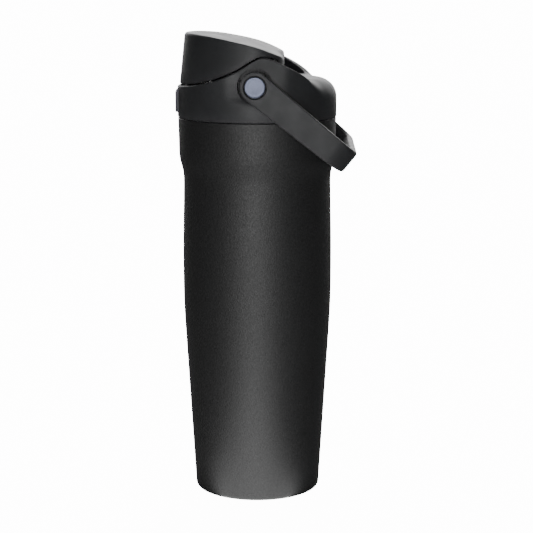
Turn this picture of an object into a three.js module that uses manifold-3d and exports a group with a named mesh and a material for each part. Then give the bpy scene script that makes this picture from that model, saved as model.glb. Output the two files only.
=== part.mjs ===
// Insulated steel flask with a screw-on flip-cap lid and a swinging carry handle.
// Millimetres, +Z up. The origin is the centre of the foot pad's underside, on the bottle's axis.
// -X is the front, where the release button is. +X is the rear, where the handle rests.
import * as THREE from 'three';
import * as BufferGeometryUtils from 'three/addons/utils/BufferGeometryUtils.js';
import Module from 'manifold-3d';

const wasm = await Module();
wasm.setup();

// ---------------------------------------------------------------- driving dimensions
const GAP = 0.3;                 // clearance between neighbouring pieces
const ROUND = 44;                // steps round the large turned pieces
const INNER_ROUND = 28;          // steps round the hidden turned pieces
const SMALL_ROUND = 16;          // steps round pins, discs and bosses
const SHAPED_ROUND = 64;         // steps round the collar and the cap's liner
const CAP_ROUND = 88;            // steps round the flip cap's shell

const SHELL_BOTTOM = 0.5;        // the steel stands this far above the pad's face
const SHELL_WALL = 0.8;
const BASE_RADIUS = 36.7;
const BASE_FILLET = 2.6;
const TAPER_TOP = [42.6, 100];
const BULGE = [43.45, 138];
const WAIST = [42.8, 185];
const FLARE_TOP = [45.4, 203];
const RIM = [45.8, 221.1];
const RIM_EDGE = 0.5;

const NECK_RADIUS = 30.5;
const NECK_TOP = 234.4;
const MOUTH_RADIUS = 27.2;
const VACUUM_GAP = 3.2;
const VESSEL_WALL = 0.8;
const VESSEL_FLOOR = 9;

const THREAD_PITCH = 3.4;
const THREAD_TURNS = 1.6;
const THREAD_HEIGHT = 1.2;
const THREAD_START = 224.6;
const THREAD_STEPS = 32;
const LID_THREAD_RADIUS = 32.3;

const COLLAR_BOTTOM = 221.9;
const COLLAR_RADIUS = 46;
const COLLAR_BORE = 38.5;
const COLLAR_POCKET_BORE = 40.5; // bore above the ledge that carries the core
const LEDGE = 236.5;
const REAR_DECK = 244.4;
const REAR_DECK_UNDERSIDE = 241;
const REAR_DECK_FRONT = 7;
const EAR_FLAT_BOTTOM = 230.8;
const EAR_FLAT_TOP = 236.5;
const EAR_FLAT_Y = 43.5;
const EAR_LEAN = 0.045;          // inward lean of the ear's flat, per mm of height
const EAR_BLEND = 1.5;           // softness of the change from the round wall to the ear's flat
const REAR_FILLET = [11.5, 11];  // radial and vertical size of the rear shoulder
const EDGE_FILLET = 0.9;

const PIVOT_Z = 242;
const BOSS_FOOT_RADIUS = 10.2;
const BOSS_RADIUS = 8.5;
const BOSS_FACE_Y = 46.2;
const SCREW_HOLE_RADIUS = 2.2;
const SCREW_HOLE_END_Y = 41.6;

const HINGE = [12.5, 253];       // x and z of the flip cap's pin
const HINGE_PIN_RADIUS = 1.2;
const KNUCKLE_RADIUS = 2.5;      // also the knuckle's half-length
const KNUCKLE_Y = 28;
const HINGE_PIN_HALF = 41;

const CAP_GAP = 0.7;
const CAP_BASE = [44.75, 240];   // radius at a height, before the lean
const CAP_LEAN = Math.tan(THREE.MathUtils.degToRad(5.9));
const CAP_WALL = 2;
const CAP_TAIL_X = 15.5;
const CAP_TAIL_CORNER = 16;
const CAP_TAIL_BOTTOM = 250;
const CAP_EDGE_Z = 264;          // height at which the cap's plan is taken for its roof
const CAP_SKIRT_Z = 255;         // the same for its lower edge
const CAP_INNER_FILLET = 0.55;   // inside fillet as a share of the outside one
const LINER_Z = 262;             // the same for the liner
const LINER_ROOF_GAP = 0.6;
const LINER_SIDE_GAP = 2.4;
const LINER_THICKNESS = 1.7;
const CAP_FRONT_FILLET = [1.8, 1.8];
const CAP_SIDE_FILLET = [0.7, 0.7];
const CAP_TAIL_FILLET = [4.6, 6.4];

const HANDLE_ANGLE = THREE.MathUtils.degToRad(39);
const HANDLE_INNER_Y = 46.5;
const HANDLE_OUTER_Y = 50;
const HANDLE_REACH = 68.3;
const HANDLE_BAR = 4.6;
const HANDLE_CORNER = 14;
const HANDLE_EYE_RADIUS = 8.5;
const HANDLE_END_HALF = 7.1;
const HANDLE_BODY_RELIEF = 45.8;
const EYE_HOLE_RADIUS = 3.8;
const EYE_RECESS_RADIUS = 6.4;
const EYE_RECESS_Y = 47.4;
const PIVOT_DISC_RADIUS = 5.95;

const SPOUT_X = -14;
const SPOUT_BORE = 10;
const SPOUT_RADIUS = 12.4;
const SPOUT_TOP = 253;
const CORE_DECK = [236.7, 239.2];
const CORE_SKIRT = [222.6, LID_THREAD_RADIUS, 34.6]; // foot height, inner and outer radius
const CORE_PLUG = [231, 24.8, 26.4];                 // the same for the ring inside the mouth
const VENT = [-6, 19];
const VENT_RADIUS = 1.8;

const BUTTON_HALF_WIDTH = 11;
const BUTTON_Z = [225, 237.8];
const BUTTON_FACE = 47.4;
const CATCH_X = [-41.2, -39.6];
const CATCH_NOSE_X = -38.4;
const CATCH_BOTTOM = 233.4;
const CATCH_HALF_WIDTH = 5;
const LATCH_Z = [235.6, 237.4];
const WINDOW_BACK_X = -41.4;
const POCKET_BACK_X = -39.4;
const LATCH_ROOM = 9;            // half-width of the pocket that the latch slides in

// ---------------------------------------------------------------- shared curves
// Height of the collar's top edge along X: low at the front, a peak at the ears, a rear saddle.
const COLLAR_EDGE = new THREE.SplineCurve([
  [-47, 239.7], [-41.5, 240.7], [-34.5, 241.8], [-22.5, 245.1], [-11.6, 249.9], [-0.5, 256.4],
  [4.9, 257.8], [10.8, 256.5], [22.7, 250.5], [29.3, 246.4], [34.5, REAR_DECK], [47, REAR_DECK],
].map(([x, z]) => new THREE.Vector2(x, z)));

// Height of the flip cap's top along X, before the edge fillets.
const CAP_TOP = new THREE.SplineCurve([
  [-46, 270.3], [-35, 270], [-23.4, 268.7], [-10.9, 266.3], [-1.6, 264.1], [5.5, 261.8], [16, 257.4],
].map(([x, z]) => new THREE.Vector2(x, z)));

const EDGE_TABLE = COLLAR_EDGE.getPoints(240);
const CAP_TABLE = CAP_TOP.getPoints(160);

function heightAt(table, x) {
  const last = table.length - 2;
  let i = 0;
  while (i < last && table[i + 1].x < x) {
    i += 1;
  }
  const t = THREE.MathUtils.clamp((x - table[i].x) / (table[i + 1].x - table[i].x), 0, 1);
  return THREE.MathUtils.lerp(table[i].y, table[i + 1].y, t);
}

const collarEdge = (x) => heightAt(EDGE_TABLE, x);
const capTop = (x) => heightAt(CAP_TABLE, x);

// 0 below a, 1 above b, with a smooth run between.
const ease = (value, a, b) => THREE.MathUtils.smoothstep(value, a, b);

// ---------------------------------------------------------------- solids
function signedVolume(positions, index) {
  const a = new THREE.Vector3();
  const b = new THREE.Vector3();
  const c = new THREE.Vector3();
  let sum = 0;
  for (let i = 0; i < index.length; i += 3) {
    a.fromArray(positions, index[i] * 3);
    b.fromArray(positions, index[i + 1] * 3);
    c.fromArray(positions, index[i + 2] * 3);
    sum += a.dot(b.cross(c));
  }
  return sum / 6;
}

function solidFrom(geometry) {
  const bare = geometry.clone();
  bare.deleteAttribute('normal');
  bare.deleteAttribute('uv');
  const merged = BufferGeometryUtils.mergeVertices(bare, 1e-4);
  const positions = merged.attributes.position.array;
  const source = merged.index.array;
  const kept = [];
  for (let i = 0; i < source.length; i += 3) {
    const [a, b, c] = [source[i], source[i + 1], source[i + 2]];
    if (a !== b && b !== c && a !== c) {
      kept.push(a, b, c);
    }
  }
  if (signedVolume(positions, kept) < 0) {
    kept.reverse();
  }
  const mesh = new wasm.Mesh({
    numProp: 3,
    vertProperties: new Float32Array(positions),
    triVerts: new Uint32Array(kept),
  });
  return new wasm.Manifold(mesh);
}

function geometryFrom(solid) {
  const mesh = solid.getMesh();
  const geometry = new THREE.BufferGeometry();
  geometry.setAttribute('position', new THREE.BufferAttribute(new Float32Array(mesh.vertProperties), 3));
  geometry.setIndex(new THREE.BufferAttribute(new Uint32Array(mesh.triVerts), 1));
  geometry.computeVertexNormals();
  return geometry;
}

// A profile of [radius, height] pairs turned about Z.
function turned(profile, steps) {
  const points = profile.map(([r, z]) => new THREE.Vector2(r, z));
  return new THREE.LatheGeometry(points, steps).rotateX(Math.PI / 2);
}

function closedTurn(profile, steps) {
  return turned([...profile, profile[0]], steps);
}

// A turned solid whose section changes with the angle. section(angle) gives [radius, height] pairs,
// the same number for every angle.
function shapedTurn(section, steps, closed) {
  const count = section(0).length;
  const places = Array.from({ length: closed ? count + 1 : count }, (_, j) => [1, j]);
  const geometry = turned(places, steps);
  const position = geometry.attributes.position;
  for (let i = 0; i < position.count; i += 1) {
    const row = Math.round(position.getZ(i)) % count;
    const angle = Math.atan2(position.getY(i), position.getX(i));
    const [radius, height] = section(angle)[row];
    position.setXYZ(i, radius * Math.cos(angle), radius * Math.sin(angle), height);
  }
  return geometry;
}

function box(x, y, z) {
  const geometry = new THREE.BoxGeometry(x[1] - x[0], y[1] - y[0], z[1] - z[0]);
  return geometry.translate((x[0] + x[1]) / 2, (y[0] + y[1]) / 2, (z[0] + z[1]) / 2);
}

// A turned profile of [radius, distance] pairs laid along Y, centred on (x, z).
function turnedAlongY(profile, x, z, side, steps = SMALL_ROUND) {
  const geometry = closedTurn(profile, steps).rotateX(Math.PI / 2);
  if (side > 0) {
    geometry.rotateZ(Math.PI);
  }
  return geometry.translate(x, 0, z);
}

function rod(radius, from, to, steps = SMALL_ROUND) {
  return turned([[0, from], [radius, from], [radius, to], [0, to]], steps);
}

function rodAlongY(radius, from, to, x, z, steps = SMALL_ROUND) {
  return rod(radius, from, to, steps).rotateX(Math.PI / 2).rotateX(Math.PI).translate(x, 0, z);
}

// A helix about Z whose section stays upright: x of the section is radial, y is along the axis.
class Helix extends THREE.Curve {
  constructor(radius, pitch, turns, start, angle = 0) {
    super();
    Object.assign(this, { radius, pitch, turns, start, angle });
  }

  getPoint(t, target = new THREE.Vector3()) {
    const a = this.angle + t * this.turns * 2 * Math.PI;
    const z = this.start + t * this.turns * this.pitch;
    return target.set(this.radius * Math.cos(a), this.radius * Math.sin(a), z);
  }

  computeFrenetFrames(segments) {
    const frames = { tangents: [], normals: [], binormals: [] };
    for (let i = 0; i <= segments; i += 1) {
      const a = this.angle + (i / segments) * this.turns * 2 * Math.PI;
      frames.tangents.push(new THREE.Vector3(-Math.sin(a), Math.cos(a), 0));
      frames.normals.push(new THREE.Vector3(Math.cos(a), Math.sin(a), 0));
      frames.binormals.push(new THREE.Vector3(0, 0, -1));
    }
    return frames;
  }
}

function polygon(points) {
  return new THREE.Shape(points.map(([x, y]) => new THREE.Vector2(x, y)));
}

// A thread ridge. height is outward when positive and inward when negative.
function threadRidge(radius, height, start, angle) {
  const root = -Math.sign(height) * 0.5;
  const halfRoot = 0.95;
  const halfCrest = 0.45;
  const section = polygon([
    [root, -halfRoot], [0, -halfRoot], [height, -halfCrest],
    [height, halfCrest], [0, halfRoot], [root, halfRoot],
  ]);
  const path = new Helix(radius, THREAD_PITCH, THREAD_TURNS, start, angle);
  return new THREE.ExtrudeGeometry(section, { steps: THREAD_STEPS, extrudePath: path, curveSegments: 1 });
}

function springCoil(radius, wire, pitch, turns, start, angle = 0) {
  const section = new THREE.Shape().absarc(0, 0, wire, 0, 2 * Math.PI);
  const path = new Helix(radius, pitch, turns, start, angle);
  return new THREE.ExtrudeGeometry(section, { steps: turns * 9, extrudePath: path, curveSegments: 3 });
}

// ---------------------------------------------------------------- bottle
// The outside of the steel body, from the foot to the rim, moved inwards by inset.
function bodyProfile(inset, divisions) {
  const foot = BASE_FILLET - inset;
  const path = new THREE.Path();
  path.moveTo(BASE_RADIUS - BASE_FILLET, SHELL_BOTTOM + inset);
  path.absarc(BASE_RADIUS - BASE_FILLET, SHELL_BOTTOM + BASE_FILLET, foot, -Math.PI / 2, 0, false);
  path.lineTo(TAPER_TOP[0] - inset, TAPER_TOP[1]);
  path.bezierCurveTo(
    TAPER_TOP[0] + 0.8 - inset, 114, BULGE[0] - inset, 124, BULGE[0] - inset, BULGE[1],
  );
  path.bezierCurveTo(BULGE[0] - inset, 158, WAIST[0] - inset, 172, WAIST[0] - inset, WAIST[1]);
  path.bezierCurveTo(WAIST[0] - inset, 194, FLARE_TOP[0] - inset, 194, FLARE_TOP[0] - inset, FLARE_TOP[1]);
  path.lineTo(RIM[0] - inset, RIM[1]);
  return path.getPoints(divisions).map((p) => [p.x, p.y]);
}

function outerShell() {
  const outside = bodyProfile(0, 3);
  const inside = bodyProfile(SHELL_WALL, 1).reverse();
  const top = RIM[1] + RIM_EDGE;
  const profile = [
    ...outside,
    [RIM[0] - RIM_EDGE, top],
    [NECK_RADIUS, top],
    [NECK_RADIUS, NECK_TOP],
    [NECK_RADIUS - SHELL_WALL, NECK_TOP],
    [NECK_RADIUS - SHELL_WALL, top - SHELL_WALL],
    ...inside,
  ];
  const ridge = threadRidge(NECK_RADIUS, THREAD_HEIGHT, THREAD_START, 0);
  return geometryFrom(solidFrom(closedTurn(profile, ROUND)).add(solidFrom(ridge)));
}

function vesselProfile(wall) {
  const side = SHELL_WALL + VACUUM_GAP + wall;
  const floor = VESSEL_FLOOR + wall;
  const mouth = MOUTH_RADIUS + VESSEL_WALL - wall;
  const path = new THREE.Path();
  path.moveTo(0, floor);
  path.lineTo(BASE_RADIUS - side - 7, floor);
  path.quadraticCurveTo(BASE_RADIUS - side + 0.6, floor, BASE_RADIUS - side + 0.6, floor + 8);
  path.lineTo(TAPER_TOP[0] - side, TAPER_TOP[1]);
  path.quadraticCurveTo(BULGE[0] - side, 118, BULGE[0] - side, BULGE[1]);
  path.lineTo(WAIST[0] - side, 190);
  path.bezierCurveTo(WAIST[0] - side, 204, mouth, 202, mouth, 214);
  return path.getPoints(3).map((p) => [p.x, p.y]);
}

function innerVessel() {
  const outside = vesselProfile(0);
  const inside = vesselProfile(VESSEL_WALL).reverse();
  const lipTop = NECK_TOP + 0.9;
  const profile = [
    ...outside,
    [MOUTH_RADIUS + VESSEL_WALL, NECK_TOP + 0.1],
    [NECK_RADIUS, NECK_TOP + 0.1],
    [NECK_RADIUS, lipTop],
    [MOUTH_RADIUS, lipTop],
    ...inside,
  ];
  return turned(profile, INNER_ROUND);
}

function baseDisc() {
  const radius = BASE_RADIUS - BASE_FILLET - GAP;
  return turned([
    [0, 3], [27.5, 3], [28.5, SHELL_BOTTOM + 0.1], [radius, SHELL_BOTTOM + 0.1],
    [radius, SHELL_BOTTOM + 1.1], [29.5, SHELL_BOTTOM + 1.1], [28.5, 4], [0, 4],
  ], INNER_ROUND);
}

function footPad() {
  return turned([[0, 0], [26, 0], [27, 0.8], [27, 2.8], [0, 2.8]], INNER_ROUND);
}

function getter() {
  return closedTurn([[0.5, 6.2], [9, 6.2], [9, 8.7], [8, 8.7], [8, 7.2], [0.5, 7.2]], SMALL_ROUND);
}

function vacuumSeal() {
  return turned([[0, 4.1], [3.4, 4.1], [2.6, 5.2], [0, 5.6]], SMALL_ROUND);
}

// ---------------------------------------------------------------- lid
// Distance from the axis at which the outside of the collar lies, with its flat ears.
function collarRadius(angle, z) {
  const share = ease(z, EAR_FLAT_BOTTOM, EAR_FLAT_TOP);
  const flat = EAR_FLAT_Y - Math.max(0, z - EAR_FLAT_TOP) * EAR_LEAN;
  const limit = THREE.MathUtils.lerp(COLLAR_RADIUS, flat, share);
  const plane = limit / Math.max(Math.abs(Math.sin(angle)), 0.2);
  const blend = EAR_BLEND * share + 0.001;
  const t = THREE.MathUtils.clamp(0.5 + (COLLAR_RADIUS - plane) / (2 * blend), 0, 1);
  return THREE.MathUtils.lerp(COLLAR_RADIUS, plane, t) - blend * t * (1 - t);
}

// How far the collar's shape has turned from the thin cheeks into the thick rear shoulder.
const rearShare = (x) => ease(x, 27, 41);

// Radius of the collar's inside above the ledge.
function collarBore(angle) {
  const x = COLLAR_RADIUS * Math.cos(angle);
  const cheekBore = COLLAR_POCKET_BORE + 0.9 * ease(x, 9, 15);
  return THREE.MathUtils.lerp(cheekBore, COLLAR_RADIUS - REAR_FILLET[0] - 1, rearShare(x));
}

function collarSection(angle) {
  const x = COLLAR_RADIUS * Math.cos(angle);
  const top = collarEdge(x);
  const rear = rearShare(x);
  const across = THREE.MathUtils.lerp(EDGE_FILLET, REAR_FILLET[0], rear);
  const down = THREE.MathUtils.lerp(EDGE_FILLET, REAR_FILLET[1], rear);
  const bore = collarBore(angle);
  const outside = collarRadius(angle, top);
  const section = [[COLLAR_BORE, COLLAR_BOTTOM], [COLLAR_BORE, LEDGE], [bore, LEDGE], [bore, top]];
  const steps = 4;
  for (let i = 0; i <= steps; i += 1) {
    const a = (i / steps) * (Math.PI / 2);
    const r = outside - across + across * Math.sin(a);
    section.push([r, top - down + down * Math.cos(a)]);
  }
  const middle = THREE.MathUtils.lerp(EAR_FLAT_TOP, top - down, 0.5);
  const heights = [middle, EAR_FLAT_TOP, 234.4, 232.4, EAR_FLAT_BOTTOM];
  heights.forEach((height, row) => {
    const z = Math.min(height, top - down - 0.1 * (row + 1));
    section.push([collarRadius(angle, z), z]);
  });
  section.push([COLLAR_RADIUS, COLLAR_BOTTOM + 0.5], [COLLAR_RADIUS - 0.5, COLLAR_BOTTOM]);
  return section;
}

function rearDeck() {
  const section = (angle) => {
    const edge = collarBore(angle) + 0.5;
    const foot = REAR_DECK_UNDERSIDE - 0.5;
    return [[0, foot], [edge, foot], [edge, REAR_DECK], [0, REAR_DECK]];
  };
  const behind = box([REAR_DECK_FRONT, 50], [-50, 50], [LEDGE, REAR_DECK + 1]);
  return solidFrom(shapedTurn(section, SHAPED_ROUND, false)).intersect(solidFrom(behind));
}

function pivotBoss(side) {
  const profile = [
    [0, EAR_FLAT_Y - 2], [BOSS_FOOT_RADIUS, EAR_FLAT_Y - 2], [BOSS_FOOT_RADIUS, EAR_FLAT_Y - 0.6],
    [BOSS_RADIUS + 0.3, BOSS_FACE_Y - 0.5], [BOSS_RADIUS - 0.3, BOSS_FACE_Y], [0, BOSS_FACE_Y],
  ];
  return solidFrom(turnedAlongY(profile, 0, PIVOT_Z, side, 40));
}

function lidCollar() {
  let collar = solidFrom(shapedTurn(collarSection, SHAPED_ROUND, true));
  collar = collar.add(rearDeck());
  collar = collar.subtract(solidFrom(rod(COLLAR_POCKET_BORE, LEDGE, REAR_DECK_UNDERSIDE, ROUND)));
  for (const side of [-1, 1]) {
    collar = collar.add(pivotBoss(side));
    const [end, radius, outside] = [SCREW_HOLE_END_Y, SCREW_HOLE_RADIUS, BOSS_FACE_Y + 1];
    const hole = turnedAlongY([[0, end], [radius, end], [radius, outside], [0, outside]], 0, PIVOT_Z, side);
    collar = collar.subtract(solidFrom(hole));
  }
  const pinRadius = HINGE_PIN_RADIUS + GAP;
  const pinHalf = HINGE_PIN_HALF + GAP;
  collar = collar.subtract(solidFrom(rodAlongY(pinRadius, -pinHalf, pinHalf, ...HINGE, 12)));
  const halfWindow = BUTTON_HALF_WIDTH + GAP;
  const windowZ = [BUTTON_Z[0] - GAP, BUTTON_Z[1] + GAP];
  collar = collar.subtract(solidFrom(box([-50, WINDOW_BACK_X], [-halfWindow, halfWindow], windowZ)));
  const room = [-LATCH_ROOM, LATCH_ROOM];
  const springRoom = box([WINDOW_BACK_X - 2.7, POCKET_BACK_X], room, [windowZ[0], REAR_DECK]);
  const catchRoom = box([POCKET_BACK_X - 1, -34], room, [CATCH_BOTTOM - 0.4, REAR_DECK]);
  collar = collar.subtract(solidFrom(springRoom)).subtract(solidFrom(catchRoom));
  return geometryFrom(collar);
}

function lidCore() {
  const [under, top] = CORE_DECK;
  const [skirtFoot, skirtInner, skirtOuter] = CORE_SKIRT;
  const [plugFoot, plugInner, plugOuter] = CORE_PLUG;
  const disc = COLLAR_POCKET_BORE - GAP;
  const profile = [
    [0, top], [disc, top], [disc, under], [skirtOuter, under], [skirtOuter, skirtFoot],
    [skirtInner, skirtFoot], [skirtInner, under], [plugOuter, under], [plugOuter, plugFoot],
    [plugInner, plugFoot], [plugInner, under], [0, under],
  ];
  let core = solidFrom(turned(profile, INNER_ROUND));
  const lidRidge = threadRidge(LID_THREAD_RADIUS, -THREAD_HEIGHT, THREAD_START - THREAD_PITCH / 2, 0);
  core = core.add(solidFrom(lidRidge));
  const below = plugFoot - 1;
  const above = top + 1;
  core = core.subtract(solidFrom(rod(SPOUT_BORE + 1, below, above, 36).translate(SPOUT_X, 0, 0)));
  core = core.subtract(solidFrom(rod(VENT_RADIUS + GAP, below, above).translate(...VENT, 0)));
  const latchRoomY = [-LATCH_ROOM - 0.5, LATCH_ROOM + 0.5];
  const latchRoom = box([-50, -skirtOuter - 0.1], latchRoomY, [under - 0.4, above]);
  core = core.subtract(solidFrom(latchRoom));
  return geometryFrom(core);
}

function lidGasket() {
  const [low, high] = [NECK_TOP + 1, CORE_DECK[0] - 0.1];
  return closedTurn([[26.9, low], [30.8, low], [30.8, high], [26.9, high]], INNER_ROUND);
}

function spout() {
  const flange = CORE_DECK[1] + 0.8;
  const profile = [
    [SPOUT_BORE - 0.6, 234], [SPOUT_BORE + 0.7, 234], [SPOUT_BORE + 0.7, flange - 0.5],
    [SPOUT_RADIUS + 1.4, flange - 0.5], [SPOUT_RADIUS + 1.4, flange + 1], [SPOUT_RADIUS, flange + 1.6],
    [SPOUT_RADIUS - 0.4, SPOUT_TOP - 2], [SPOUT_RADIUS, SPOUT_TOP - 0.7], [SPOUT_RADIUS - 0.8, SPOUT_TOP],
    [SPOUT_BORE + 0.6, SPOUT_TOP], [SPOUT_BORE, SPOUT_TOP - 1.2],
  ];
  return closedTurn(profile, 36).translate(SPOUT_X, 0, 0);
}

function ventValve() {
  const head = CORE_DECK[1] + 0.1;
  const top = head + 1.5;
  const foot = CORE_DECK[0] - 1.7;
  const profile = [[0, foot], [VENT_RADIUS, foot], [VENT_RADIUS, head], [3.6, head], [3, top], [0, top]];
  return turned(profile, SMALL_ROUND).translate(...VENT, 0);
}

// ---------------------------------------------------------------- flip cap
// Plan radius of the cap: a leaning round wall, with a straight tail and large rounded corners.
function capRadius(angle, z, inset) {
  const round = CAP_BASE[0] - (z - CAP_BASE[1]) * CAP_LEAN - inset;
  const tail = CAP_TAIL_X - inset;
  const corner = CAP_TAIL_CORNER - inset;
  const centreX = tail - corner;
  const centreY = Math.sqrt((round - corner) ** 2 - centreX ** 2);
  const a = Math.abs(angle);
  if (a < Math.atan2(centreY, tail)) {
    return tail / Math.cos(a);
  }
  if (a < Math.atan2(centreY, centreX)) {
    const along = centreX * Math.cos(a) + centreY * Math.sin(a);
    return along + Math.sqrt(along ** 2 - centreX ** 2 - centreY ** 2 + corner ** 2);
  }
  return round;
}

function capFillet(angle) {
  const tail = ease(Math.cos(angle), 0.35, 0.8);
  const front = ease(-Math.cos(angle), 0.3, 0.85);
  return [0, 1].map((k) => CAP_SIDE_FILLET[k]
    + (CAP_TAIL_FILLET[k] - CAP_SIDE_FILLET[k]) * tail
    + (CAP_FRONT_FILLET[k] - CAP_SIDE_FILLET[k]) * front);
}

// Bottom edge of the cap: it follows the collar's edge, and drops between the ears at the tail.
function capBottom(angle) {
  const radius = capRadius(angle, CAP_SKIRT_Z, 0);
  const x = radius * Math.cos(angle);
  const follow = collarEdge(x) + CAP_GAP;
  return THREE.MathUtils.lerp(CAP_TAIL_BOTTOM, follow, ease(radius, 38.2, 38.6));
}

function capSection(angle) {
  const [across, down] = capFillet(angle);
  const plan = capRadius(angle, CAP_EDGE_Z, 0);
  const reach = plan - across;
  const direction = Math.cos(angle);
  const section = [[0, capTop(0)], [reach * 0.5, capTop(reach * 0.5 * direction)]];
  const edge = capTop(reach * direction);
  const slope = capTop((reach + 1) * direction) - edge;
  section.push([reach * 0.8, capTop(reach * 0.8 * direction)]);
  const steps = 5;
  for (let i = 0; i <= steps; i += 1) {
    const a = (i / steps) * (Math.PI / 2);
    const r = reach + across * Math.sin(a);
    const z = edge + slope * across * Math.sin(a) - down * (1 - Math.cos(a));
    section.push([r + (capRadius(angle, z, 0) - plan) * Math.sin(a), z]);
  }
  const side = section[section.length - 1][1];
  const bottom = Math.min(capBottom(angle), side - 0.4);
  const middle = (side + bottom) / 2;
  section.push([capRadius(angle, middle, 0), middle], [capRadius(angle, bottom, 0), bottom]);
  const innerTop = (r) => capTop(r * direction) - CAP_WALL - 0.2;
  const innerReach = capRadius(angle, edge - CAP_WALL, CAP_WALL);
  section.push([capRadius(angle, bottom, CAP_WALL), bottom]);
  const fillet = down * CAP_INNER_FILLET;
  const roof = Math.min(innerTop(innerReach), side + down - CAP_WALL - fillet);
  const shoulder = Math.max(roof, bottom + 0.1);
  section.push([innerReach, shoulder]);
  section.push([innerReach - fillet, Math.max(innerTop(innerReach - fillet), shoulder + 0.05)]);
  section.push([innerReach * 0.5, innerTop(innerReach * 0.5)], [0, innerTop(0)]);
  return section;
}

function capShell() {
  let shell = solidFrom(shapedTurn(capSection, CAP_ROUND, false));
  for (const middle of [-KNUCKLE_Y, KNUCKLE_Y]) {
    const y = [middle - KNUCKLE_RADIUS, middle + KNUCKLE_RADIUS];
    const webX = [HINGE[0] - KNUCKLE_RADIUS, HINGE[0] + KNUCKLE_RADIUS - 0.2];
    const web = box(webX, y, [HINGE[1], HINGE[1] + 3]);
    shell = shell.add(solidFrom(web));
    shell = shell.add(solidFrom(rodAlongY(KNUCKLE_RADIUS, ...y, ...HINGE)));
  }
  const hole = rodAlongY(HINGE_PIN_RADIUS + GAP, -45, 45, ...HINGE, 12);
  const springSlot = box([HINGE[0] - 3, CAP_TAIL_X + 1], [-4.6, 4.6], [CAP_TAIL_BOTTOM - 1, HINGE[1] + 2.6]);
  return geometryFrom(shell.subtract(solidFrom(hole)).subtract(solidFrom(springSlot)));
}

// The liner's upper side, from its rim to the middle, a little below the cap's roof.
function linerRoof(angle, reach) {
  const top = (r) => capTop(r * Math.cos(angle)) - CAP_WALL - LINER_ROOF_GAP;
  return [
    [reach, top(reach) - 1], [reach - 2, top(reach - 2)], [reach * 0.5, top(reach * 0.5)], [0, top(0)],
  ];
}

// The space under the cap's roof that the liner may fill, down to the collar's foot.
function linerSpace(angle) {
  const reach = capRadius(angle, LINER_Z, CAP_WALL + LINER_SIDE_GAP);
  return [[0, COLLAR_BOTTOM], [reach, COLLAR_BOTTOM], ...linerRoof(angle, reach)];
}

function linerPlate(angle) {
  const reach = capRadius(angle, LINER_Z, CAP_WALL + LINER_SIDE_GAP + 0.1);
  const roof = linerRoof(angle, reach);
  const [rim, , half, middle] = roof;
  const under = [middle, half].map(([r, z]) => [r, z - LINER_THICKNESS]);
  return [...under, [reach, rim[1] - LINER_THICKNESS - 0.2], ...roof];
}

// The hook on the front of the liner, drawn in the XZ plane and extruded along Y.
function capCatch() {
  const [front, back] = CATCH_X;
  const side = polygon([
    [-37, 266.6], [-39.4, 262], [front, 247], [front, CATCH_BOTTOM], [front + 0.8, CATCH_BOTTOM],
    [CATCH_NOSE_X, CATCH_BOTTOM + 1.2], [CATCH_NOSE_X, LATCH_Z[0] - GAP], [back, LATCH_Z[0] - GAP],
    [back, 247], [-37, 259],
  ]);
  const hook = new THREE.ExtrudeGeometry(side, { depth: 2 * CATCH_HALF_WIDTH, bevelEnabled: false });
  return hook.rotateX(Math.PI / 2).translate(0, CATCH_HALF_WIDTH, 0);
}

function capLiner() {
  const space = solidFrom(shapedTurn(linerSpace, SHAPED_ROUND, false));
  let liner = solidFrom(shapedTurn(linerPlate, SHAPED_ROUND, false));
  const boss = rod(SPOUT_RADIUS - 0.6, SPOUT_TOP + 3.2, CAP_EDGE_Z + 10, 36).translate(SPOUT_X, 0, 0);
  liner = liner.add(solidFrom(boss).intersect(space));
  const hingeRoom = box([HINGE[0] - KNUCKLE_RADIUS - 2, CAP_TAIL_X], [-50, 50], [COLLAR_BOTTOM, 280]);
  liner = liner.subtract(solidFrom(hingeRoom));
  liner = liner.add(solidFrom(capCatch()));
  return geometryFrom(liner);
}

function spoutSeal() {
  const profile = [
    [0, SPOUT_TOP + 0.3], [SPOUT_BORE - 1, SPOUT_TOP + 0.3], [SPOUT_RADIUS, SPOUT_TOP + 0.3],
    [SPOUT_RADIUS + 0.6, SPOUT_TOP + 1.2], [SPOUT_RADIUS + 0.2, SPOUT_TOP + 3], [0, SPOUT_TOP + 3],
  ];
  return turned(profile, 36).translate(SPOUT_X, 0, 0);
}

function hingePin() {
  return rodAlongY(HINGE_PIN_RADIUS, -HINGE_PIN_HALF, HINGE_PIN_HALF, ...HINGE, 12);
}

function hingeSpring() {
  const radius = 1.8;
  const wire = 0.3;
  const turns = 5;
  const pitch = 1.2;
  const half = (turns * pitch) / 2;
  let coil = solidFrom(springCoil(radius, wire, pitch, turns, -half, Math.PI));
  const legs = [[-half, 8, -1], [half, 3, 1]];
  for (const [z, length, side] of legs) {
    const leg = rod(wire * 0.9, -wire, length, 8).rotateX((side * Math.PI) / 2).translate(-radius, 0, z);
    coil = coil.add(solidFrom(leg));
  }
  return geometryFrom(coil).rotateX(-Math.PI / 2).translate(HINGE[0], 0, HINGE[1]);
}

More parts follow.
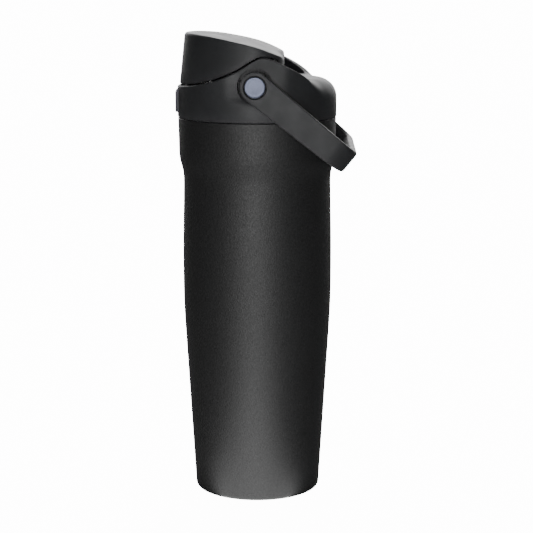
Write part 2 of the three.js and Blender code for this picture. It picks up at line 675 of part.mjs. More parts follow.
// ---------------------------------------------------------------- latch
function releaseButton() {
  const thickness = 2.4;
  const arc = Math.asin(BUTTON_HALF_WIDTH / BUTTON_FACE);
  const back = BUTTON_FACE - thickness;
  const outline = new THREE.Shape();
  outline.absarc(0, 0, BUTTON_FACE, Math.PI - arc, Math.PI + arc, false);
  outline.absarc(0, 0, back, Math.PI + arc, Math.PI - arc, true);
  const height = BUTTON_Z[1] - BUTTON_Z[0];
  const plate = new THREE.ExtrudeGeometry(outline, { depth: height, bevelEnabled: false, curveSegments: 10 });
  const chamfer = polygon([
    [-60, BUTTON_Z[0] - 1], [-46.4, BUTTON_Z[0] - 1], [-BUTTON_FACE - 0.1, BUTTON_Z[0] + 1.4],
    [-BUTTON_FACE - 0.1, BUTTON_Z[1] - 2.6], [-45.9, BUTTON_Z[1] + 1], [-60, BUTTON_Z[1] + 1],
  ]);
  const cut = new THREE.ExtrudeGeometry(chamfer, { depth: 60, bevelEnabled: false });
  cut.rotateX(Math.PI / 2).translate(0, 30, 0);
  return geometryFrom(solidFrom(plate.translate(0, 0, BUTTON_Z[0])).subtract(solidFrom(cut)));
}

function latchSlide() {
  const outer = 8.2;
  const inner = CATCH_HALF_WIDTH + 0.6;
  const lip = [CATCH_NOSE_X - 0.9, CATCH_NOSE_X + 0.9];
  const outline = polygon([
    [-43.9, -outer], [lip[1], -outer], [lip[1], outer], [-43.9, outer],
    [-43.9, inner], [lip[0], inner], [lip[0], -inner], [-43.9, -inner],
  ]);
  const height = LATCH_Z[1] - LATCH_Z[0];
  const plate = new THREE.ExtrudeGeometry(outline, { depth: height, bevelEnabled: false });
  return plate.translate(0, 0, LATCH_Z[0]);
}

function buttonSpring() {
  const [from, to] = [-44.3, POCKET_BACK_X - 0.6];
  const turns = 4;
  const coil = springCoil(2.4, 0.3, (to - from) / turns, turns, from);
  return coil.rotateY(Math.PI / 2).translate(0, 0, 229.6);
}

// ---------------------------------------------------------------- handle
// The handle is drawn in its own plane: x along the arms, y across the flask, z across the strap.
function handlePlan() {
  const straight = HANDLE_REACH - HANDLE_CORNER;
  const corner = HANDLE_OUTER_Y - HANDLE_CORNER;
  const innerX = HANDLE_CORNER - HANDLE_BAR;
  const innerY = HANDLE_INNER_Y - corner;
  const back = -HANDLE_EYE_RADIUS - 1;
  const plan = new THREE.Shape();
  plan.moveTo(back, -HANDLE_OUTER_Y);
  plan.lineTo(straight, -HANDLE_OUTER_Y);
  plan.absarc(straight, -corner, HANDLE_CORNER, -Math.PI / 2, 0, false);
  plan.absarc(straight, corner, HANDLE_CORNER, 0, Math.PI / 2, false);
  plan.lineTo(back, HANDLE_OUTER_Y);
  plan.lineTo(back, HANDLE_INNER_Y);
  plan.absellipse(straight, corner, innerX, innerY, Math.PI / 2, 0, true);
  plan.absellipse(straight, -corner, innerX, innerY, 0, -Math.PI / 2, true);
  plan.lineTo(back, -HANDLE_INNER_Y);
  const solid = new THREE.ExtrudeGeometry(plan, { depth: 24, bevelEnabled: false, curveSegments: 10 });
  return solid.translate(0, 0, -12);
}

function handleSide() {
  const tilt = Math.asin((HANDLE_EYE_RADIUS - HANDLE_END_HALF) / HANDLE_REACH);
  const end = HANDLE_REACH + 1;
  const side = new THREE.Shape();
  side.absarc(0, 0, HANDLE_EYE_RADIUS, Math.PI / 2 - tilt, -Math.PI / 2 + tilt, false);
  side.lineTo(end, -HANDLE_END_HALF);
  side.lineTo(end, HANDLE_END_HALF);
  const solid = new THREE.ExtrudeGeometry(side, { depth: 120, bevelEnabled: false, curveSegments: 20 });
  return solid.rotateX(Math.PI / 2).translate(0, 60, 0);
}

function bailHandle() {
  let handle = solidFrom(handlePlan()).intersect(solidFrom(handleSide()));
  for (const side of [-1, 1]) {
    const hole = [
      [0, 44], [EYE_HOLE_RADIUS, 44], [EYE_HOLE_RADIUS, EYE_RECESS_Y],
      [EYE_RECESS_RADIUS, EYE_RECESS_Y], [EYE_RECESS_RADIUS, 52], [0, 52],
    ];
    handle = handle.subtract(solidFrom(turnedAlongY(hole, 0, 0, side, 28)));
  }
  const placed = geometryFrom(handle).rotateY(HANDLE_ANGLE).translate(0, 0, PIVOT_Z);
  const body = rod(HANDLE_BODY_RELIEF, 150, 220, 96);
  return geometryFrom(solidFrom(placed).subtract(solidFrom(body)));
}

function pivotBushing(side) {
  const bore = SCREW_HOLE_RADIUS;
  const sleeve = EYE_HOLE_RADIUS - GAP;
  const foot = BOSS_FACE_Y + 0.1;
  const under = EYE_RECESS_Y + 0.1;
  const profile = [
    [bore, foot], [sleeve, foot], [sleeve, under], [5.6, under], [5.6, under + 0.5], [bore, under + 0.5],
  ];
  return turnedAlongY(profile, 0, PIVOT_Z, side);
}

function pivotScrew(side) {
  const head = EYE_RECESS_Y + 0.7;
  const shank = SCREW_HOLE_RADIUS - GAP;
  const profile = [
    [0, SCREW_HOLE_END_Y + 0.4], [shank, SCREW_HOLE_END_Y + 0.4], [shank, head],
    [4.8, head], [4.4, head + 0.9], [0, head + 0.9],
  ];
  return turnedAlongY(profile, 0, PIVOT_Z, side);
}

function pivotCap(side) {
  const face = HANDLE_OUTER_Y + 0.3;
  const profile = [
    [0, face - 1.1], [PIVOT_DISC_RADIUS, face - 1.1], [PIVOT_DISC_RADIUS, face - 0.5],
    [PIVOT_DISC_RADIUS - 0.5, face], [0, face],
  ];
  return turnedAlongY(profile, 0, PIVOT_Z, side, 28);
}

// ---------------------------------------------------------------- materials and assembly
function finish(colour, roughness, metalness) {
  return new THREE.MeshStandardMaterial({ color: colour, roughness, metalness });
}

const flask = new THREE.Group();

function piece(name, geometry, material) {
  const mesh = new THREE.Mesh(geometry, material);
  mesh.name = name;
  flask.add(mesh);
  return mesh;
}

piece('outer_shell', outerShell(), finish(0x26272a, 0.55, 0.3));
piece('inner_vessel', innerVessel(), finish(0xb9bcc0, 0.3, 1));
piece('base_disc', baseDisc(), finish(0xb0b3b8, 0.4, 1));
piece('foot_pad', footPad(), finish(0x1c1d1f, 0.85, 0));
piece('vacuum_seal', vacuumSeal(), finish(0x9a9a98, 0.5, 1));
piece('getter', getter(), finish(0x8c8f94, 0.5, 1));
piece('lid_collar', lidCollar(), finish(0x1f2022, 0.5, 0));
piece('lid_core', lidCore(), finish(0x2a2b2d, 0.55, 0));
piece('lid_gasket', lidGasket(), finish(0x5d6064, 0.7, 0));
piece('spout', spout(), finish(0x303235, 0.4, 0));
piece('vent_valve', ventValve(), finish(0x6a6d72, 0.7, 0));
piece('cap_shell', capShell(), finish(0x202123, 0.45, 0));
piece('cap_liner', capLiner(), finish(0x2c2d30, 0.5, 0));
piece('spout_seal', spoutSeal(), finish(0x5d6064, 0.7, 0));
piece('hinge_pin', hingePin(), finish(0xb5b8bd, 0.3, 1));
piece('hinge_spring', hingeSpring(), finish(0xa8abb0, 0.35, 1));
piece('release_button', releaseButton(), finish(0x5b5b64, 0.5, 0));
piece('latch_slide', latchSlide(), finish(0x3a3b3f, 0.5, 0));
piece('button_spring', buttonSpring(), finish(0xa8abb0, 0.35, 1));
piece('bail_handle', bailHandle(), finish(0x2a2b2d, 0.5, 0));
for (const [side, name] of [[-1, 'right'], [1, 'left']]) {
  piece(`pivot_bushing_${name}`, pivotBushing(side), finish(0xd8d8d2, 0.6, 0));
  piece(`pivot_screw_${name}`, pivotScrew(side), finish(0xa2a5aa, 0.35, 1));
  piece(`pivot_cap_${name}`, pivotCap(side), finish(0x898e9e, 0.35, 0.7));
}

export default flask;
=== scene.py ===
"""Looks of an insulated steel flask with a latched flip cap and a swinging carry handle.

Every shape is worked out in millimetres and stored in metres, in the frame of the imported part:
+Z up along the bottle, -X towards the release button, +X towards the hinge and the resting handle.
"""

import math

import bmesh
import bpy
from mathutils import Matrix, Vector


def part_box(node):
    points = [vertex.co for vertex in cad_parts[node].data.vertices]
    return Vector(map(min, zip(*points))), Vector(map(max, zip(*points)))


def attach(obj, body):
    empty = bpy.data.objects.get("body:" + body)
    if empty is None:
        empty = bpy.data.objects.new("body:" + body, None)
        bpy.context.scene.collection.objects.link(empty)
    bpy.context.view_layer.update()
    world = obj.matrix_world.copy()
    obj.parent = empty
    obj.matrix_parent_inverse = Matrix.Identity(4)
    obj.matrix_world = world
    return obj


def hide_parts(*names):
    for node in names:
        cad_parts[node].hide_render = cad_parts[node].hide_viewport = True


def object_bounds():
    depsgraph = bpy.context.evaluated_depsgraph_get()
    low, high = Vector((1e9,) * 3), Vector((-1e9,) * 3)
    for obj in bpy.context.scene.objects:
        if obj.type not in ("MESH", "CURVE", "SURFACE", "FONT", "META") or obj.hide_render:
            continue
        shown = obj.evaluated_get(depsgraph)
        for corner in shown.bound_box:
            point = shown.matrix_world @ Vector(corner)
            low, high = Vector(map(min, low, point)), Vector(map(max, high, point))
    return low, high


bl_info = {
    "name": "Insulated Flask",
    "version": (1, 0, 0),
    "blender": (4, 5, 0),
    "location": "View3D > Sidebar > Flask",
    "description": "Builds the visible pieces and finishes of an insulated flask around its packed frame",
    "category": "Object",
}

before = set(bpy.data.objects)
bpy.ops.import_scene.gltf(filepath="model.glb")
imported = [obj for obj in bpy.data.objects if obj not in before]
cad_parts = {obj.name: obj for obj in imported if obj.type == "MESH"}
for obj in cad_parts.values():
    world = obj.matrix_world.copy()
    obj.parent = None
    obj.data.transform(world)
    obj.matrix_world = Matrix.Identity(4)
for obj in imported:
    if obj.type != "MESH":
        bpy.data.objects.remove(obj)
CAD_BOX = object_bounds()
MM = 0.001


def low(node, axis):
    """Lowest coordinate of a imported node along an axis, in millimetres."""
    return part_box(node)[0]["xyz".index(axis)] / MM


def high(node, axis):
    """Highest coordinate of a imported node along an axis, in millimetres."""
    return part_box(node)[1]["xyz".index(axis)] / MM


# ---------------------------------------------------------------- driving sizes, in millimetres
SHELL_BOTTOM = low("outer_shell", "z")
SHELL_WALL = 0.8
RIM_RADIUS = high("outer_shell", "x")
NECK_TOP = high("outer_shell", "z")
BASE_RADIUS = 36.7
BASE_FILLET = 2.6
TAPER_TOP = (42.6, 100)
BULGE = (43.45, 138)
WAIST = (42.8, 185)
FLARE_TOP = (45.4, 203)
RIM_Z = 221.1
RIM_EDGE = 0.5
NECK_RADIUS = 30.5
MOUTH_RADIUS = 27.2
VESSEL_WALL = 0.8
VACUUM_GAP = 3.2
VESSEL_FLOOR = low("inner_vessel", "z")
THREAD_PITCH = 3.4
THREAD_TURNS = 1.6
THREAD_HEIGHT = 1.2
THREAD_START = 224.6
THREAD_STEPS = 180
THREAD_TAPER = 0.08
THREAD_ROOT_DEPTH = 0.3
THREAD_ROOT_HALF = 0.95
THREAD_CREST_HALF = 0.45
LID_THREAD_RADIUS = 32.3

COLLAR_BOTTOM = low("lid_collar", "z")
COLLAR_RADIUS = high("lid_collar", "x")
COLLAR_BORE = 38.5
POCKET_BORE = 40.5
LEDGE = 236.5
REAR_DECK = 244.4
REAR_DECK_UNDERSIDE = 241
REAR_DECK_FRONT = 7
EAR_FLAT_BOTTOM = 230.8
EAR_FLAT_TOP = 236.5
EAR_FLAT_Y = 43.5
EAR_LEAN = 0.045
EAR_BLEND = 1.5
CHEEK_RUN = (9, 15)
CHEEK_THINNING = 0.9
SHOULDER_RUN = (27, 41)
REAR_FILLET = (11.5, 11)
EDGE_FILLET = 0.9

PIVOT_Z = (low("pivot_cap_right", "z") + high("pivot_cap_right", "z")) / 2
PIVOT_DISC_RADIUS = high("pivot_cap_right", "x")
BOSS_FOOT_RADIUS = 10.2
BOSS_RADIUS = 8.5
BOSS_FACE_Y = high("lid_collar", "y")
SCREW_HOLE_RADIUS = 2.2
SCREW_HOLE_END_Y = 41.6

HINGE_X = (low("hinge_pin", "x") + high("hinge_pin", "x")) / 2
HINGE_Z = (low("hinge_pin", "z") + high("hinge_pin", "z")) / 2
HINGE_PIN_RADIUS = 1.2
HINGE_PIN_HALF = high("hinge_pin", "y")
KNUCKLE_RADIUS = 2.5
KNUCKLE_Y = 28
GAP = 0.3

CAP_GAP = 0.7
CAP_BASE = (44.75, 240)
CAP_LEAN = math.tan(math.radians(5.9))
CAP_WALL = 2
CAP_TAIL_X = high("cap_shell", "x")
CAP_TAIL_CORNER = 16
CAP_TAIL_BOTTOM = 250
CAP_EDGE_Z = 264
CAP_SKIRT_Z = 255
CAP_INNER_FILLET = 0.55
CAP_FRONT_FILLET = (1.8, 1.8)
CAP_SIDE_FILLET = (0.7, 0.7)
CAP_TAIL_FILLET = (4.6, 6.4)
LINER_Z = 262
LINER_ROOF_GAP = 0.6
LINER_SIDE_GAP = 2.4
LINER_THICKNESS = 1.7

HANDLE_ANGLE = math.radians(39)
HANDLE_INNER_Y = 46.5
HANDLE_OUTER_Y = high("bail_handle", "y")
HANDLE_REACH = 68.3
HANDLE_BAR = 4.6
HANDLE_CORNER = 14
HANDLE_EYE_RADIUS = 8.5
HANDLE_END_HALF = 7.1
HANDLE_EDGE = 0.7
HANDLE_TIP_EDGE = 2.0
HANDLE_BODY_RELIEF = 45.8
EYE_HOLE_RADIUS = 3.8
EYE_RECESS_RADIUS = 6.4
EYE_RECESS_Y = 47.4

SPOUT_X = (low("spout", "x") + high("spout", "x")) / 2
SPOUT_BORE = 10
SPOUT_RADIUS = 12.4
SPOUT_TOP = high("spout", "z")
CORE_UNDERSIDE = 236.7
CORE_TOP = high("lid_core", "z")
CORE_SKIRT = (222.6, 32.3, 34.6)
CORE_PLUG = (231, 24.8, 26.4)
VENT = (-6, 19)
VENT_RADIUS = 1.8

BUTTON_HALF_WIDTH = high("release_button", "y")
BUTTON_BOTTOM = low("release_button", "z")
BUTTON_TOP = high("release_button", "z")
BUTTON_FACE = -low("release_button", "x")
BUTTON_THICKNESS = 2.4
CATCH_FRONT_X = low("cap_liner", "x")
CATCH_BACK_X = -39.6
CATCH_NOSE_X = -38.4
CATCH_BOTTOM = low("cap_liner", "z")
CATCH_HALF_WIDTH = 5
LATCH_BOTTOM = low("latch_slide", "z")
WINDOW_BACK_X = -41.4
POCKET_BACK_X = -39.4
LATCH_ROOM = 9

FINE = 256
COLLAR_STEPS = 384
CAP_STEPS = 400
MEDIUM = 128
SMALL = 64
SMOOTH_ANGLE = math.radians(32)
FLOOR_SHARE = 0.85


# ---------------------------------------------------------------- curves
def catmull_rom(points, samples):
    """Points along a uniform Catmull-Rom curve through the given ones."""
    last = len(points) - 1
    out = []
    for k in range(samples + 1):
        place = k / samples * last
        i = min(int(place), last - 1)
        t = place - i
        p0 = points[max(i - 1, 0)]
        p1 = points[i]
        p2 = points[i + 1]
        p3 = points[min(i + 2, last)]
        out.append(tuple(cubic(t, p0[a], p1[a], p2[a], p3[a]) for a in (0, 1)))
    return out


def cubic(t, p0, p1, p2, p3):
    """One coordinate of a Catmull-Rom span."""
    v0 = (p2 - p0) / 2
    v1 = (p3 - p1) / 2
    return ((2 * p1 - 2 * p2 + v0 + v1) * t ** 3
            + (-3 * p1 + 3 * p2 - 2 * v0 - v1) * t ** 2 + v0 * t + p1)


def height_at(table, x):
    """Height of a sampled curve at x."""
    i = 0
    while i < len(table) - 2 and table[i + 1][0] < x:
        i += 1
    (x0, z0), (x1, z1) = table[i], table[i + 1]
    t = min(max((x - x0) / (x1 - x0), 0), 1)
    return z0 + (z1 - z0) * t


# Height of the collar's top edge along X: low in front, a peak at the ears, a rear saddle.
COLLAR_EDGE = catmull_rom([
    (-47, 239.7), (-41.5, 240.7), (-34.5, 241.8), (-22.5, 245.1), (-11.6, 249.9), (-0.5, 256.4),
    (4.9, 257.8), (10.8, 256.5), (22.7, 250.5), (29.3, 246.4), (34.5, REAR_DECK), (47, REAR_DECK),
], 400)

# Height of the flip cap's top along X, before the edge fillets.
CAP_TOP = catmull_rom([
    (-46, 270.3), (-35, 270), (-23.4, 268.7), (-10.9, 266.3), (-1.6, 264.1), (5.5, 261.8), (16, 257.4),
], 300)


def collar_edge(x):
    """Height of the collar's top edge."""
    return height_at(COLLAR_EDGE, x)


def cap_top(x):
    """Height of the flip cap's top."""
    return height_at(CAP_TOP, x)


def ease(value, a, b):
    """0 below a, 1 above b, with a smooth run between."""
    t = min(max((value - a) / (b - a), 0), 1)
    return t * t * (3 - 2 * t)


def mix(a, b, t):
    """Linear blend from a to b."""
    return a + (b - a) * t


def arc(cx, cy, rx, ry, start, end, steps):
    """Points on an ellipse's arc, angles in degrees."""
    turns = [math.radians(mix(start, end, i / steps)) for i in range(steps + 1)]
    return [(cx + rx * math.cos(a), cy + ry * math.sin(a)) for a in turns]


def bezier(p0, p1, p2, p3, steps):
    """Points on a cubic Bezier curve, without its first one."""
    out = []
    for i in range(1, steps + 1):
        t = i / steps
        k = ((1 - t) ** 3, 3 * t * (1 - t) ** 2, 3 * t * t * (1 - t), t ** 3)
        out.append(tuple(sum(w * p[a] for w, p in zip(k, (p0, p1, p2, p3))) for a in (0, 1)))
    return out


def rounded(profile, radius, steps=4):
    """A closed profile with its corners rounded, as far as the neighbouring edges allow."""
    out = []
    count = len(profile)
    for i, corner in enumerate(profile):
        here = Vector(corner)
        before = Vector(profile[i - 1]) - here
        after = Vector(profile[(i + 1) % count]) - here
        cut = min(radius, before.length * 0.4, after.length * 0.4)
        if cut < 1e-4 or (here.x < 1e-6 and min(before.x, after.x) > -1e-6 and on_axis(profile, i)):
            out.append(corner)
            continue
        a = here + before.normalized() * cut
        b = here + after.normalized() * cut
        for k in range(steps + 1):
            t = k / steps
            point = a * (1 - t) ** 2 + here * (2 * t * (1 - t)) + b * t ** 2
            out.append((point.x, point.y))
    return out


def on_axis(profile, i):
    """Whether a profile's corner lies on the axis of turning."""
    return abs(profile[i][0]) < 1e-6


# ---------------------------------------------------------------- meshes
def new_object(name, points, faces):
    """A mesh object from points in millimetres."""
    mesh = bpy.data.meshes.new(name)
    mesh.from_pydata([(x * MM, y * MM, z * MM) for x, y, z in points], [], faces)
    mesh.validate()
    obj = bpy.data.objects.new(name, mesh)
    bpy.context.scene.collection.objects.link(obj)
    return tidy_mesh(obj)


def tidy_mesh(obj):
    """Merges doubled points, drops what has no area and turns the faces outwards."""
    work = bmesh.new()
    work.from_mesh(obj.data)
    bmesh.ops.remove_doubles(work, verts=work.verts, dist=2e-6)
    bmesh.ops.dissolve_degenerate(work, edges=work.edges, dist=1e-6)
    bmesh.ops.recalc_face_normals(work, faces=work.faces)
    work.to_mesh(obj.data)
    work.free()
    return obj


def shaped_turn(name, section, steps, closed=True):
    """A turned solid whose section(angle), a list of (radius, height), changes with the angle."""
    rows = len(section(0))
    points = []
    for i in range(steps):
        angle = 2 * math.pi * i / steps
        wrapped = angle if angle <= math.pi else angle - 2 * math.pi
        points += [(r * math.cos(angle), r * math.sin(angle), z) for r, z in section(wrapped)]
    faces = []
    for i in range(steps):
        for j in range(rows if closed else rows - 1):
            a = i * rows + j
            b = i * rows + (j + 1) % rows
            c = ((i + 1) % steps) * rows + (j + 1) % rows
            d = ((i + 1) % steps) * rows + j
            faces.append((a, d, c, b))
    return new_object(name, points, faces)


def turned(name, profile, steps=FINE):
    """A closed profile of (radius, height) turned about Z."""
    return shaped_turn(name, lambda angle: profile, steps)


def prism(name, outline, bottom, top):
    """An outline in the XY plane raised from bottom to top."""
    count = len(outline)
    points = [(x, y, bottom) for x, y in outline] + [(x, y, top) for x, y in outline]
    faces = [tuple(reversed(range(count))), tuple(range(count, 2 * count))]
    faces += [(i, (i + 1) % count, count + (i + 1) % count, count + i) for i in range(count)]
    return new_object(name, points, faces)


def block(x, y, z):
    """A cutting block between two coordinates on each axis."""
    outline = [(x[0], y[0]), (x[1], y[0]), (x[1], y[1]), (x[0], y[1])]
    return prism("block", outline, *z)


def place(obj, matrix):
    """Moves a mesh's own points; distances in the matrix are in millimetres."""
    scaled = matrix.copy()
    scaled.translation = scaled.translation * MM
    obj.data.transform(scaled)
    return tidy_mesh(obj)


def along_y(profile, side, steps=SMALL, x=0, z=None):
    """A profile of (radius, distance) turned about a line along Y, on one side of the flask."""
    obj = turned("rod", profile, steps)
    turn = Matrix.Rotation(math.radians(-90 * side), 4, "X")
    return place(obj, Matrix.Translation((x, 0, PIVOT_Z if z is None else z)) @ turn)


def rod_profile(radius, start, end):
    """Profile of a plain rod."""
    return [(0, start), (radius, start), (radius, end), (0, end)]


def combine(obj, other, operation):
    """Joins, cuts or keeps what is common, then removes the other mesh."""
    modifier = obj.modifiers.new("combine", "BOOLEAN")
    modifier.object = other
    modifier.operation = operation
    modifier.solver = "EXACT"
    graph = bpy.context.evaluated_depsgraph_get()
    mesh = bpy.data.meshes.new_from_object(obj.evaluated_get(graph))
    obj.modifiers.remove(modifier)
    old = obj.data
    obj.data = mesh
    mesh.name = old.name
    bpy.data.meshes.remove(old)
    bpy.data.meshes.remove(other.data)
    if not mesh.polygons:
        raise RuntimeError(f"{obj.name}: nothing is left after {operation}")
    return tidy_mesh(obj)


def cut(obj, other):
    """obj without the space that other takes."""
    return combine(obj, other, "DIFFERENCE")


def join(obj, other):
    """obj and other as one solid."""
    return combine(obj, other, "UNION")


def thread_ridge(radius, height, start):
    """A thread's ridge about Z that thins out at both ends; it points inwards if height is negative."""
    root = -math.copysign(THREAD_ROOT_DEPTH, height)
    half = [(root, -THREAD_ROOT_HALF), (0, -THREAD_ROOT_HALF), (height, -THREAD_CREST_HALF)]
    section = half + [(out, -up) for out, up in reversed(half)]
    rows = len(section)
    points = []
    for i in range(THREAD_STEPS + 1):
        t = i / THREAD_STEPS
        a = t * THREAD_TURNS * 2 * math.pi
        z = start + t * THREAD_TURNS * THREAD_PITCH
        size = max(min(t / THREAD_TAPER, (1 - t) / THREAD_TAPER, 1), 0.05)
        for out, up in section:
            r = radius + out * size
            points.append((r * math.cos(a), r * math.sin(a), z + up * size))
    faces = []
    for i in range(THREAD_STEPS):
        for j in range(rows):
            k = (j + 1) % rows
            faces.append((i * rows + j, i * rows + k, (i + 1) * rows + k, (i + 1) * rows + j))
    faces += [tuple(range(rows)), tuple(THREAD_STEPS * rows + j for j in reversed(range(rows)))]
    return new_object("helix", points, faces)


def merge(obj, *others):
    """Adds separate solids to obj's mesh without a boolean."""
    work = bmesh.new()
    work.from_mesh(obj.data)
    for other in others:
        work.from_mesh(other.data)
        bpy.data.meshes.remove(other.data)
    work.to_mesh(obj.data)
    work.free()
    return obj


def finish(obj, name, body, slot, material, *nodes):
    """Names a piece, smooths its shading, gives it a material and makes it ride on its body."""
    obj.name = name
    obj.data.name = name
    for polygon in obj.data.polygons:
        polygon.use_smooth = True
    obj.data.set_sharp_from_angle(angle=SMOOTH_ANGLE)
    obj.data.materials.clear()
    obj.data.materials.append(material)
    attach(obj, body)
    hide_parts(*nodes)
    return obj


def dress(node, material):
    """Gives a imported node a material."""
    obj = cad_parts[node]
    obj.data.materials.clear()
    obj.data.materials.append(material)


# ---------------------------------------------------------------- finishes
class Finish:
    """A procedural material being put together around one Principled shader."""

    def __init__(self, name, colour, roughness, metallic=0.0, specular=0.5):
        self.material = bpy.data.materials.new(name)
        self.material.use_nodes = True
        self.nodes = self.material.node_tree.nodes
        self.links = self.material.node_tree.links
        self.shader = self.nodes["Principled BSDF"]
        self.shader.inputs["Metallic"].default_value = metallic
        self.shader.inputs["Specular IOR Level"].default_value = specular
        self.shader.inputs["Roughness"].default_value = roughness
        self.shader.inputs["Base Color"].default_value = (*colour, 1)
        self.colour = None
        self.coordinates = self.nodes.new("ShaderNodeTexCoord").outputs["Object"]

    def noise(self, scale, detail=3, stretch=(1, 1, 1)):
        """Noise over the object's own coordinates; scale is in cells per metre."""
        mapping = self.nodes.new("ShaderNodeMapping")
        mapping.inputs["Scale"].default_value = stretch
        self.links.new(self.coordinates, mapping.inputs["Vector"])
        texture = self.nodes.new("ShaderNodeTexNoise")
        texture.inputs["Scale"].default_value = scale
        texture.inputs["Detail"].default_value = detail
        self.links.new(mapping.outputs["Vector"], texture.inputs["Vector"])
        return texture.outputs["Fac"]

    def cells(self, scale):
        """Distance to the nearest point of a random set, for speckled mould textures."""
        texture = self.nodes.new("ShaderNodeTexVoronoi")
        texture.inputs["Scale"].default_value = scale
        self.links.new(self.coordinates, texture.inputs["Vector"])
        return texture.outputs["Distance"]

    def remap(self, value, start, end, to_start, to_end):
        """value moved from one range to another, held at its ends."""
        node = self.nodes.new("ShaderNodeMapRange")
        limits = {"From Min": start, "From Max": end, "To Min": to_start, "To Max": to_end}
        for name, limit in limits.items():
            node.inputs[name].default_value = limit
        self.links.new(value, node.inputs["Value"])
        return node.outputs["Result"]

    def worn_edges(self, strength=1.0):
        """1 along convex edges, 0 elsewhere, broken up by noise."""
        pointiness = self.nodes.new("ShaderNodeNewGeometry").outputs["Pointiness"]
        edge = self.remap(pointiness, 0.515, 0.56, 0, strength)
        patchy = self.remap(self.noise(260), 0.35, 0.7, 0.35, 1)
        return self.times(edge, patchy)

    def times(self, a, b):
        """Product of two values."""
        node = self.nodes.new("ShaderNodeMath")
        node.operation = "MULTIPLY"
        self.links.new(a, node.inputs[0])
        self.links.new(b, node.inputs[1])
        return node.outputs[0]

    def blend_colour(self, factor, dark, light):
        """Base colour that runs from dark to light with a factor; a second call adds to the first."""
        node = self.nodes.new("ShaderNodeMix")
        node.data_type = "RGBA"
        self.links.new(factor, node.inputs["Factor"])
        if self.colour is None:
            node.inputs[6].default_value = (*dark, 1)
        else:
            self.links.new(self.colour, node.inputs[6])
        node.inputs[7].default_value = (*light, 1)
        self.colour = node.outputs[2]
        self.links.new(self.colour, self.shader.inputs["Base Color"])

    def roughness(self, value):
        """Roughness from a value."""
        self.links.new(value, self.shader.inputs["Roughness"])

    def bump(self, *layers):
        """Fine relief; each layer is (height value, depth in millimetres)."""
        normal = None
        for value, depth in layers:
            node = self.nodes.new("ShaderNodeBump")
            node.inputs["Strength"].default_value = 1
            node.inputs["Distance"].default_value = depth * MM
            self.links.new(value, node.inputs["Height"])
            if normal is not None:
                self.links.new(normal, node.inputs["Normal"])
            normal = node.outputs["Normal"]
        self.links.new(normal, self.shader.inputs["Normal"])


def scaled(colour, factor):
    """A colour made darker or lighter."""
    return tuple(min(c * factor, 1) for c in colour[:3])


def powder_coat(colour):
    """Fine-grained matt powder coat over steel."""
    coat = Finish("powder coat", colour, 0.5, specular=0.5)
    clouds = coat.noise(38, 4)
    speckle = coat.noise(2100, 2)
    coat.blend_colour(coat.remap(clouds, 0.3, 0.7, 0, 1), scaled(colour, 0.88), scaled(colour, 1.1))
    coat.blend_colour(coat.remap(speckle, 0.52, 0.76, 0, 0.6), colour, scaled(colour, 2.4))
    coat.blend_colour(coat.worn_edges(0.5), colour, scaled(colour, 2.2))
    coat.roughness(coat.remap(coat.noise(900, 3), 0.3, 0.7, 0.5, 0.62))
    coat.bump((coat.noise(1500, 3), 0.13), (coat.noise(420, 2), 0.02))
    return coat.material


def moulded(name, colour, roughness, grain, depth, specular=0.5):
    """Moulded plastic with a spark-eroded grain; grain is in cells per metre."""
    plastic = Finish(name, colour, roughness, specular=specular)
    clouds = plastic.remap(plastic.noise(55, 4), 0.3, 0.7, 0, 1)
    plastic.blend_colour(clouds, scaled(colour, 0.86), scaled(colour, 1.12))
    plastic.blend_colour(plastic.worn_edges(0.7), colour, scaled(colour, 2.6))
    smear = plastic.remap(plastic.noise(120, 4), 0.3, 0.7, roughness - 0.05, roughness + 0.06)
    plastic.roughness(smear)
    plastic.bump((plastic.cells(grain), depth), (plastic.noise(grain * 0.8, 2), depth * 0.8))
    return plastic.material


def brushed(name, colour, roughness, stretch):
    """Brushed metal with fine lines across the given stretch."""
    metal = Finish(name, colour, roughness, metallic=1.0)
    lines = metal.noise(900, 4, stretch)
    metal.blend_colour(metal.remap(lines, 0.3, 0.7, 0, 1), scaled(colour, 0.82), scaled(colour, 1.12))
    metal.blend_colour(metal.worn_edges(0.5), colour, scaled(colour, 1.5))
    metal.roughness(metal.remap(metal.noise(700, 3, stretch), 0.3, 0.7, roughness - 0.08, roughness + 0.1))
    metal.bump((lines, 0.012))
    return metal.material


def soft_rubber(name, colour, roughness, grain):
    """Silicone or rubber with a dusty, slightly uneven skin."""
    skin = Finish(name, colour, roughness, specular=0.35)
    clouds = skin.remap(skin.noise(80, 5), 0.3, 0.75, 0, 1)
    skin.blend_colour(clouds, scaled(colour, 0.85), scaled(colour, 1.2))
    skin.blend_colour(skin.remap(skin.noise(1800, 2), 0.6, 0.8, 0, 0.4), colour, scaled(colour, 1.9))
    skin.roughness(skin.remap(skin.noise(200, 3), 0.3, 0.7, roughness - 0.06, roughness + 0.06))
    skin.bump((skin.noise(grain, 3), 0.03))
    return skin.material


MATERIALS = {}


